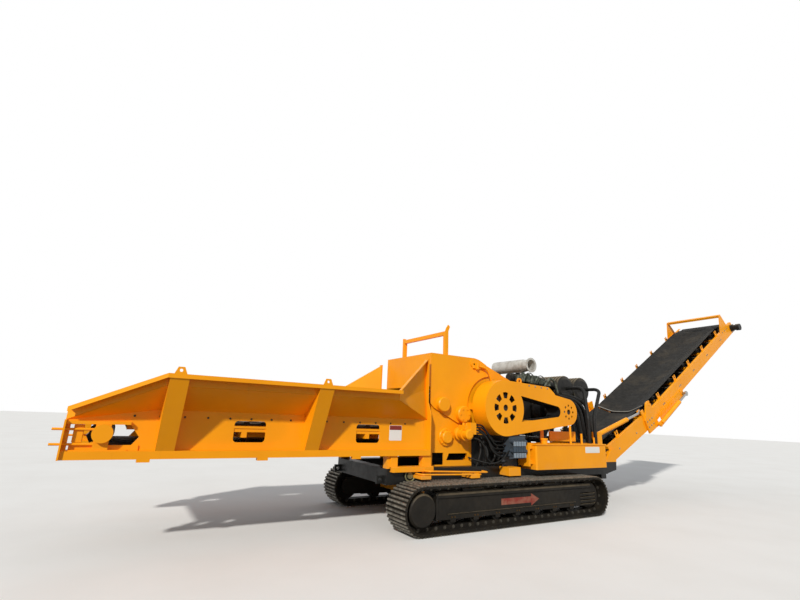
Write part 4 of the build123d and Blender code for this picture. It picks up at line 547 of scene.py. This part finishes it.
def loop_places(radius):
    """Points in X and Z round a track, one for each shoe, and their directions off the wheels."""
    run, turn = IDLER_X - SPROCKET_X, math.pi * LINK_RADIUS
    places = []
    for i in range(SHOE_COUNT):
        s = (i + FIRST_SHOE) * 2 * (run + turn) / SHOE_COUNT
        if s < run:
            centre, angle = SPROCKET_X + s, -math.pi / 2
        elif s < run + turn:
            centre, angle = IDLER_X, (s - run) / LINK_RADIUS - math.pi / 2
        elif s < 2 * run + turn:
            centre, angle = IDLER_X - (s - run - turn), math.pi / 2
        else:
            centre, angle = SPROCKET_X, (s - 2 * run - turn) / LINK_RADIUS + math.pi / 2
        out = (math.cos(angle), math.sin(angle))
        places.append(((centre + radius * out[0], TRACK_MIDDLE_Z + radius * out[1]), out))
    return places


# Plates, blocks and tubes. Blocks and tubes have their X measured from the middle of the tracks
def flat_plate(name, outline, y, thickness, body, material, bevel=0.0):
    """A thin plate that stands out towards -Y, or towards +Y where its thickness is negative."""
    shape = bmesh.new()
    face = shape.faces.new([shape.verts.new((x, y, z)) for x, z in outline])
    out = bmesh.ops.extrude_face_region(shape, geom=[face])
    moved = [v for v in out["geom"] if isinstance(v, bmesh.types.BMVert)]
    bmesh.ops.translate(shape, vec=(0, -thickness, 0), verts=moved)
    bmesh.ops.recalc_face_normals(shape, faces=shape.faces)
    finish_piece(solid_object(name, shape, bevel), body, material)


def rounded_outline(x, z, radius):
    """A rectangle in X and Z with round corners."""
    corners = ((x[1] - radius, z[1] - radius, 0), (x[0] + radius, z[1] - radius, 90),
               (x[0] + radius, z[0] + radius, 180), (x[1] - radius, z[0] + radius, 270))
    steps = 5
    points = []
    for cx, cz, start in corners:
        for i in range(steps + 1):
            angle = math.radians(start + 90 * i / steps)
            points.append((cx + radius * math.cos(angle), cz + radius * math.sin(angle)))
    return points


def boxes(name, body, limits, material, bevel=0.003):
    """Blocks in one piece, each from its limits in X, Y and Z."""
    shape = bmesh.new()
    for block in limits:
        size = [high - low for low, high in block]
        middle = [(low + high) / 2 for low, high in block]
        middle[0] += TRACK_X
        made = bmesh.ops.create_cube(shape, size=1.0)["verts"]
        bmesh.ops.scale(shape, vec=size, verts=made)
        bmesh.ops.translate(shape, vec=middle, verts=made)
    finish_piece(solid_object(name, shape, bevel), body, material)


def tubes(name, body, routes, material):
    """Pipes or held hoses in one piece, each a radius and the points that steer its line."""
    curve = bpy.data.curves.new(name, "CURVE")
    curve.dimensions = "3D"
    curve.bevel_depth = 1.0
    curve.bevel_resolution = 2
    curve.use_fill_caps = True
    curve.resolution_u = 5
    for radius, points in routes:
        line = curve.splines.new("NURBS")
        line.points.add(len(points) - 1)
        line.order_u = 3
        line.use_endpoint_u = True
        for point, (x, y, z) in zip(line.points, points):
            point.co = (TRACK_X + x, y, z, 1.0)
            point.radius = radius
    made = plain_object(name, bpy.data.objects.new(name, curve))
    for face in made.data.polygons:
        face.use_smooth = True
    finish_piece(made, body, material)


def direction_arrows():
    """The red arrows on the track frames, which point to the idlers."""
    tail, neck, tip = (TRACK_X + dx for dx in (-0.33, 0.28, 0.45))
    z, shaft, head, paint = 0.325, 0.042, 0.085, 0.0015
    outline = [(tail, z - shaft), (neck, z - shaft), (neck, z - head), (tip, z), (neck, z + head),
               (neck, z + shaft), (tail, z + shaft)]
    for name, y, thickness in (("right", -FRAME_FACE_Y, paint), ("left", FRAME_FACE_Y, -paint)):
        flat_plate("arrow_" + name, outline, y, thickness, "chassis", sign_red)


def blank_signs():
    """Two bare plates: one with a red band on the hopper's wall, a white one on the tank."""
    x, z = (TRACK_X - 1.985, TRACK_X - 1.785), (1.125, 1.325)
    tank_x, tank_z = (TRACK_X + 1.74, TRACK_X + 2.13), (0.965, 1.065)
    corner, band_corner, margin, band_height = 0.012, 0.008, 0.004, 0.06
    plate, paint, edge = 0.002, 0.0008, 0.0004
    band = rounded_outline((x[0] + margin, x[1] - margin), (z[1] - band_height, z[1] - margin),
                           band_corner)
    flat_plate("wall_sign", rounded_outline(x, z, corner), -WALL_Y, plate,
               "chassis", sign_white, edge)
    flat_plate("wall_sign_band", band, -WALL_Y - plate, paint, "chassis", sign_red)
    flat_plate("tank_sign", rounded_outline(tank_x, tank_z, corner), -TANK_Y, plate,
               "chassis", sign_white, edge)


def lid_latch():
    """The lug of the lid's latch on the roller box, and its bent handle on the housing."""
    boxes("latch_lug", "feed_box", [
        ((-0.42, -0.15), (-0.69, -0.665), (2.25, 2.33)),
        ((-0.36, -0.32), (-0.72, -0.665), (2.235, 2.345)),
    ], yellow_paint)
    tubes("latch_handle", "chassis", [
        (0.016, [(-0.30, -0.70, 2.29), (-0.18, -0.72, 2.28), (-0.10, -0.72, 2.20),
                 (-0.05, -0.71, 2.08)]),
    ], yellow_paint)


def bay_hoses():
    """The bundle of held hoses from the engine and filters down behind the tank's end."""
    count = 8
    routes = []
    for i in range(count):
        share, y = i / (count - 1), -0.42 - 0.09 * (i % 2)
        routes.append((0.034, [
            (1.70 + 0.30 * share, y + 0.06, 1.86 + 0.12 * share),
            (2.02 + 0.38 * share, y, 1.86 + 0.08 * share),
            (2.28 + 0.40 * share, y, 1.68 + 0.12 * share),
            (2.36 + 0.38 * share, y, 1.42),
            (2.42 + 0.34 * share, y, 1.12),
            (2.42 + 0.34 * share, -0.64, 0.78),
        ]))
    tubes("bay_hoses", "chassis", routes, hose_rubber)


def engine_trim():
    """Small covers and castings on the engine's top, and the lines and the can among them."""
    boxes("engine_covers", "chassis", [
        ((0.96, 1.08), (-0.40, -0.24), (2.16, 2.27)),
        ((1.14, 1.20), (-0.42, -0.34), (2.16, 2.31)),
        ((1.26, 1.42), (-0.40, -0.30), (2.14, 2.29)),
        ((1.52, 1.58), (-0.40, -0.28), (2.14, 2.25)),
        ((1.66, 1.76), (-0.42, -0.30), (2.12, 2.22)),
    ], casting_grey)
    tubes("engine_lines", "chassis", [
        (0.009, [(1.00, -0.44, 2.15), (1.04, -0.45, 2.29), (1.16, -0.45, 2.33),
                 (1.28, -0.44, 2.27), (1.34, -0.43, 2.15)]),
        (0.009, [(1.30, -0.44, 2.15), (1.36, -0.45, 2.27), (1.48, -0.45, 2.30),
                 (1.60, -0.44, 2.20), (1.64, -0.43, 2.12)]),
        (0.022, [(1.58, -0.42, 2.10), (1.64, -0.46, 2.24), (1.76, -0.46, 2.26),
                 (1.88, -0.44, 2.14), (1.94, -0.42, 2.00)]),
        (0.030, [(1.10, -0.34, 2.16), (1.10, -0.34, 2.24), (1.10, -0.34, 2.33)]),
    ], casting_grey)


def frame_end_cap():
    """The round cap with a pale rim on the frame's right side, ahead of the housing."""
    x, z = -1.656, 0.672
    rings("cap_rim", [((TRACK_X + x, -0.80, z), (0, -1, 0))], 0.075, 0.011,
          cap_zinc)
    tubes("cap_face", "chassis",
          [(0.045, [(x, y, z) for y in (-0.74, -0.78, -0.81)])], cap_zinc)


def frame_ledges():
    """Low wedge plates on the track frames' tops, and a rim along their lower edges."""
    inner, face, outer = 0.92, 1.178, 1.192
    limits = []
    for side in SIDES:
        top, rim = sorted((side * inner, side * face)), sorted((side * face, side * outer))
        for x, half in ((-0.85, 0.19), (-0.13, 0.15), (0.70, 0.13)):
            limits.append(((x - half, x + half), top, (0.50, 0.537)))
        limits.append(((-1.30, 1.30), rim, (0.222, 0.236)))
    boxes("frame_ledges", "chassis", limits, frame_paint, 0.010)


def tail_plates():
    """Round the take-ups: the end posts' flanges, the screws' nut blocks and the sills' fillers."""
    plates = (
        ((-5.605, -5.562), (0.744, 0.762), (1.015, 1.27)),
        ((-5.530, -5.448), (0.715, 0.772), (1.085, 1.255)),
        ((-5.545, -4.960), (0.735, 0.765), (1.000, 1.062)),
    )
    limits = [(along, sorted((side * near, side * far)), height)
              for side in SIDES for along, (near, far), height in plates]
    boxes("tail_plates", "chassis", limits, yellow_paint)


def fold_webs():
    """The upper channels' deeper webs beside the fold cylinders."""
    corners = ((0.28, -0.06), (1.50, -0.06), (1.50, -0.20), (1.42, -0.245), (0.34, -0.245),
               (0.28, -0.20))
    thickness = 0.008
    for name, side in (("right", -1), ("left", 1)):
        y = side * CHANNEL_Y
        points = [slope_point(True, s, h, y) for s, h in corners]
        flat_plate("fold_web_" + name, [(x, z) for x, _, z in points], y, -side * thickness,
                   "conveyor_upper", yellow_paint)


def belt_lip():
    """The pale rubber lip across the foot of the upper belt, which follows the trough."""
    half = [(0.0, 0.096), (0.10, 0.096), (0.22, 0.105), (0.42, 0.192), (0.55, 0.245)]
    route = []
    for y, h in [(-y, h) for y, h in half[:0:-1]] + half:
        x, _, z = slope_point(True, 0.045, h, y)
        route.append((x - TRACK_X, y, z))
    tubes("belt_lip", "conveyor_upper", [(0.011, route)], lip_rubber)


def frame_trim():
    """Step brackets, the two feed pipes on them and the front bracket, on the frame's right."""
    boxes("pipe_brackets", "chassis", [
        ((-1.60, -1.44), (-1.00, -0.70), (0.640, 0.685)),
        ((-0.73, -0.565), (-1.00, -0.70), (0.628, 0.672)),
        ((0.035, 0.281), (-0.99, -0.70), (0.632, 0.756)),
        ((-1.45, -1.30), (-0.80, -0.70), (0.640, 0.998)),
        ((-1.97, -1.86), (-0.80, -0.72), (0.735, 0.998)),
        ((-1.97, -1.30), (-0.86, -0.72), (0.722, 0.790)),
    ], yellow_paint)
    tubes("feed_pipes", "chassis", [
        (0.012, [(-1.46, -0.80, 0.735), (-1.46, -0.95, 0.735), (-1.36, -0.96, 0.735),
                 (-0.45, -0.96, 0.70), (-0.35, -0.95, 0.696), (-0.35, -0.80, 0.696)]),
        (0.012, [(-1.58, -0.82, 0.70), (-1.58, -0.98, 0.70), (-1.50, -0.99, 0.70),
                 (-0.60, -0.99, 0.678), (-0.50, -0.98, 0.672), (-0.50, -0.80, 0.672)]),
    ], yellow_paint)


def valve_trim():
    """The valve bank's sections and spools, the tank's bracket, and the held hoses round them."""
    sections = [0.085 + 0.055 * i for i in range(5)]
    boxes("valve_spools", "chassis",
          [((x + 0.005, x + 0.04), (-1.056, VALVE_Y), z)
           for x in sections for z in ((0.90, 0.97), (1.07, 1.14))], spool_grey_and_highlight)
    boxes("valve_sections", "chassis",
          [((x, x + 0.045), (-1.050, VALVE_Y), (0.98, 1.06)) for x in sections], section_grey)
    boxes("tank_bracket", "chassis", [
        ((0.425, 0.465), (-1.03, -0.80), (0.765, 1.12)),
        ((0.465, 0.518), (-1.03, -0.96), (1.03, 1.12)),
        ((0.465, 0.518), (-1.03, -0.96), (0.80, 0.86)),
    ], yellow_paint)
    tubes("valve_hoses", "chassis", [
        (0.014, [(-0.57, -0.86, 1.30), (-0.50, -0.90, 1.30), (-0.37, -0.96, 1.18),
                 (-0.30, -0.96, 1.00), (-0.14, -0.95, 0.92), (0.02, -0.94, 0.90),
                 (0.08, -0.94, 0.90)]),
        (0.014, [(-0.60, -0.80, 1.18), (-0.50, -0.88, 1.18), (-0.40, -0.93, 1.06),
                 (-0.37, -0.92, 0.90), (-0.26, -0.90, 0.82), (-0.08, -0.90, 0.80),
                 (0.08, -0.90, 0.83)]),
        (0.018, [(-0.33, -0.66, 1.22), (-0.31, -0.74, 1.08), (-0.36, -0.78, 0.92),
                 (-0.42, -0.74, 0.74)]),
        (0.018, [(-0.24, -0.66, 1.18), (-0.20, -0.76, 1.02), (-0.24, -0.82, 0.88),
                 (-0.30, -0.74, 0.74)]),
        (0.016, [(-0.12, -0.66, 1.16), (-0.09, -0.80, 1.00), (-0.13, -0.86, 0.86),
                 (-0.19, -0.74, 0.74)]),
        (0.016, [(-0.02, -0.66, 1.14), (0.00, -0.80, 1.04), (-0.03, -0.88, 0.88),
                 (-0.08, -0.74, 0.74)]),
        (0.012, [(-0.50, -0.66, 0.88), (-0.42, -0.80, 0.84), (-0.24, -0.94, 0.80),
                 (-0.06, -0.97, 0.88), (0.02, -0.97, 0.98), (0.08, -0.96, 1.00)]),
        (0.012, [(0.40, -0.92, 1.12), (0.47, -0.96, 1.12), (0.49, -0.96, 1.00),
                 (0.48, -0.93, 0.86), (0.44, -0.74, 0.74)]),
        (0.012, [(0.40, -0.86, 1.00), (0.46, -0.90, 1.00), (0.47, -0.88, 0.90),
                 (0.42, -0.74, 0.74)]),
        (0.016, [(0.20, -0.90, 0.70), (0.20, -0.92, 0.62), (0.12, -0.80, 0.62),
                 (0.02, -0.74, 0.70)]),
    ], hose_rubber)


def fixed_bolts():
    """Bolts of the hopper walls, the chain's bearings, the track frames, the housing and guard."""
    large, bearing, hopper = [], [], []
    for side in SIDES:
        facing = (0, side, 0)
        y = side * WALL_Y
        hopper += row((TRACK_X - 5.041, y, 1.35), (TRACK_X - 1.733, y, 1.35), 15, facing)
        bearing += ring(FEED_HEAD, 0.112, side * BEARING_Y, 8)
        for x in [TRACK_X + 0.4 * i for i in range(-3, 4)]:
            for dx in (-0.025, 0.025):
                hopper.append(((x + dx, side * FRAME_FACE_Y, 0.19), facing))
        x, y = TRACK_X - 1.305, side * FLANGE_Y
        large += row((x, y, 0.80), (x, y, 1.36), 5, facing)
    guard = row((TRACK_X + 0.52, GUARD_Y, 2.025), (TRACK_X + 0.96, GUARD_Y, 2.005), 4, (0, -1, 0))
    for name, places, size, finish in (
        ("chassis_bolts", large, LARGE_BOLT, bolt_zinc),
        ("chassis_small_bolts", guard, SMALL_BOLT, bolt_zinc),
        ("bearing_bolts", bearing, SMALL_BOLT, yellow_paint),
        ("hopper_bolts", hopper, HOPPER_BOLT, bolt_black),
    ):
        bolts(name, "chassis", places, size, finish)


def box_bolts():
    """Bolts round the roller box's bosses."""
    places = [place for side in SIDES for place in ring(BOX_BOSS, 0.085, side * BOSS_Y, 6)]
    bolts("roller_box_bolts", "feed_box", places, MIDDLE_BOLT, yellow_paint)


def conveyor_bolts():
    """Bolts of the conveyor's side channels and hinge plates."""
    upper, lower = [], []
    for side in SIDES:
        facing, channel, hinge = (0, side, 0), side * CHANNEL_Y, side * HINGE_PLATE_Y
        for s in (0.62, 1.53, 2.37, 3.28, 4.28):
            for ds in (-0.03, 0.03):
                upper.append((slope_point(True, s + ds, 0.0, channel), facing))
        for s in (4.55, 4.70, 4.85):
            upper.append((slope_point(True, s, 0.10, channel), facing))
        for s in (1.46, 1.56, 1.66):
            for h in (-0.10, 0.02):
                lower.append((slope_point(False, s, h, hinge), facing))
        for s in (0.32, 1.02):
            lower.append((slope_point(False, s, -0.03, channel), facing))
    for name, places in (("upper", upper), ("lower", lower)):
        bolts(name + "_conveyor_bolts", "conveyor_" + name, places, MIDDLE_BOLT,
              bolt_zinc)


def intake_rings():
    """The ribs of the filters' shells and of the intake pipe."""
    filter_z, filter_half, pipe_y, pipe_z = 2.12, 0.28, -0.21, 2.2303
    shells = []
    for x in (TRACK_X + 2.33, TRACK_X + 2.83):
        shells += row((x, -filter_half, filter_z), (x, filter_half, filter_z), 9, (0, 1, 0))
    pipe = row((TRACK_X + 0.88, pipe_y, pipe_z), (TRACK_X + 1.62, pipe_y, pipe_z), 18, (1, 0, 0))
    rings("filter_ribs", shells, 0.231, 0.017, dusty_black)
    rings("intake_ribs", pipe, 0.068, 0.014, black_rubber)


def track_links():
    """Joints on the ends of the shoes and pins in the sides of the links, on both tracks."""
    for side, name in zip(SIDES, ("right", "left")):
        gaps, pins = [], []
        for face in (-1, 1):
            y = side * TRACK_Y + face * SHOE_HALF
            gaps += [((x, y, z), (out[0], 0, out[1])) for (x, z), out in loop_places(GAP_RADIUS)]
            y = side * TRACK_Y + face * LINK_HALF
            pins += [((x, y, z), (0, face, 0)) for (x, z), _ in loop_places(PIN_RADIUS)]
        made = placed_forms("shoe_gaps_" + name, SHOE_GAPS, gaps,
                            {"Gap Size": GAP_SIZE, "Finish": black_paint})
        finish_piece(made, "chassis")
        bolts("link_pins_" + name, "chassis", pins, LINK_PIN, link_pin_steel)


direction_arrows()
blank_signs()
lid_latch()
bay_hoses()
engine_trim()
frame_end_cap()
frame_ledges()
tail_plates()
fold_webs()
belt_lip()
frame_trim()
valve_trim()
fixed_bolts()
box_bolts()
conveyor_bolts()
intake_rings()
track_links()


def set_camera():
    """The photograph's view: a wide lens close to the tail's right corner, tipped up a little."""
    focal_px, width_px, sensor_mm = 440.0, 800.0, 36
    pitch, roll, yaw = math.radians(14.8), math.radians(2.3), math.radians(31.3)
    place = Vector((TRACK_X - 5.2, -6.18, 1.45))
    forward = Vector((math.sin(yaw) * math.cos(pitch), math.cos(yaw) * math.cos(pitch),
                      math.sin(pitch)))
    level = Vector((math.cos(yaw), -math.sin(yaw), 0))
    above = level.cross(forward)
    right = level * math.cos(roll) + above * math.sin(roll)
    up = above * math.cos(roll) - level * math.sin(roll)
    camera = bpy.data.objects.new("camera", bpy.data.cameras.new("camera"))
    camera.data.sensor_width = sensor_mm
    camera.data.lens = sensor_mm * focal_px / width_px
    turn = Matrix((right, up, -forward)).transposed()
    camera.matrix_world = Matrix.Translation(place) @ turn.to_4x4()
    bpy.context.scene.collection.objects.link(camera)
    bpy.context.scene.camera = camera


def seen_directly(tree):
    """1 for rays that the eye follows, straight or in a mirror, and 0 for light that bounces."""
    light = add_node(tree, "ShaderNodeLightPath").outputs
    direct = calculate(tree, "MAXIMUM", light["Is Camera Ray"], light["Is Glossy Ray"])
    return calculate(tree, "MAXIMUM", direct, light["Is Transmission Ray"])


def set_floor():
    """A pale floor, which throws back less light than it shows."""
    bpy.ops.mesh.primitive_plane_add(size=160, location=(0, 0, 0))
    floor = bpy.context.object
    floor.name = "floor"
    material, tree, shader, place = new_finish("floor")
    patches = remap(tree, noise(tree, place, 0.8, 6.0), 0.4, 0.7, 0.0, 0.5)
    shown = blend_colours(tree, patches, FLOOR, FLOOR_SHADE)
    tone = blend_colours(tree, seen_directly(tree), FLOOR_BOUNCE, shown)
    rough = remap(tree, noise(tree, place, 3.0), 0.3, 0.7, 0.85, 0.95)
    coat(tree, shader, tone, rough, noise(tree, place, 40.0), 0.4)
    floor.data.materials.append(material)


def set_sky():
    """A soft bluish sky that the eye sees as white."""
    world = bpy.data.worlds.new("studio")
    bpy.context.scene.world = world
    world.use_nodes = True
    tree = world.node_tree
    tree.nodes.clear()
    soft = add_node(tree, "ShaderNodeBackground",
                    values={"Color": (0.90, 0.94, 1.0, 1.0), "Strength": 0.42})
    white = add_node(tree, "ShaderNodeBackground",
                     values={"Color": (1.0, 1.0, 1.0, 1.0), "Strength": 1.0})
    mix = add_node(tree, "ShaderNodeMixShader", links={
        "Fac": seen_directly(tree), 1: soft.outputs[0], 2: white.outputs[0]})
    add_node(tree, "ShaderNodeOutputWorld", links={"Surface": mix.outputs[0]})


def set_sun():
    """One broad, slightly warm sun from the tail's right."""
    sun = bpy.data.objects.new("sun", bpy.data.lights.new("sun", "SUN"))
    sun.data.energy = 3.15
    sun.data.angle = math.radians(2.5)
    sun.data.color = (1.0, 0.975, 0.93)
    direction = Vector((1.25, 1.14, -1.02))
    sun.rotation_euler = direction.to_track_quat("-Z", "Y").to_euler()
    bpy.context.scene.collection.objects.link(sun)


set_camera()
set_floor()
set_sky()
set_sun()
bpy.context.scene.view_settings.view_transform = "Standard"
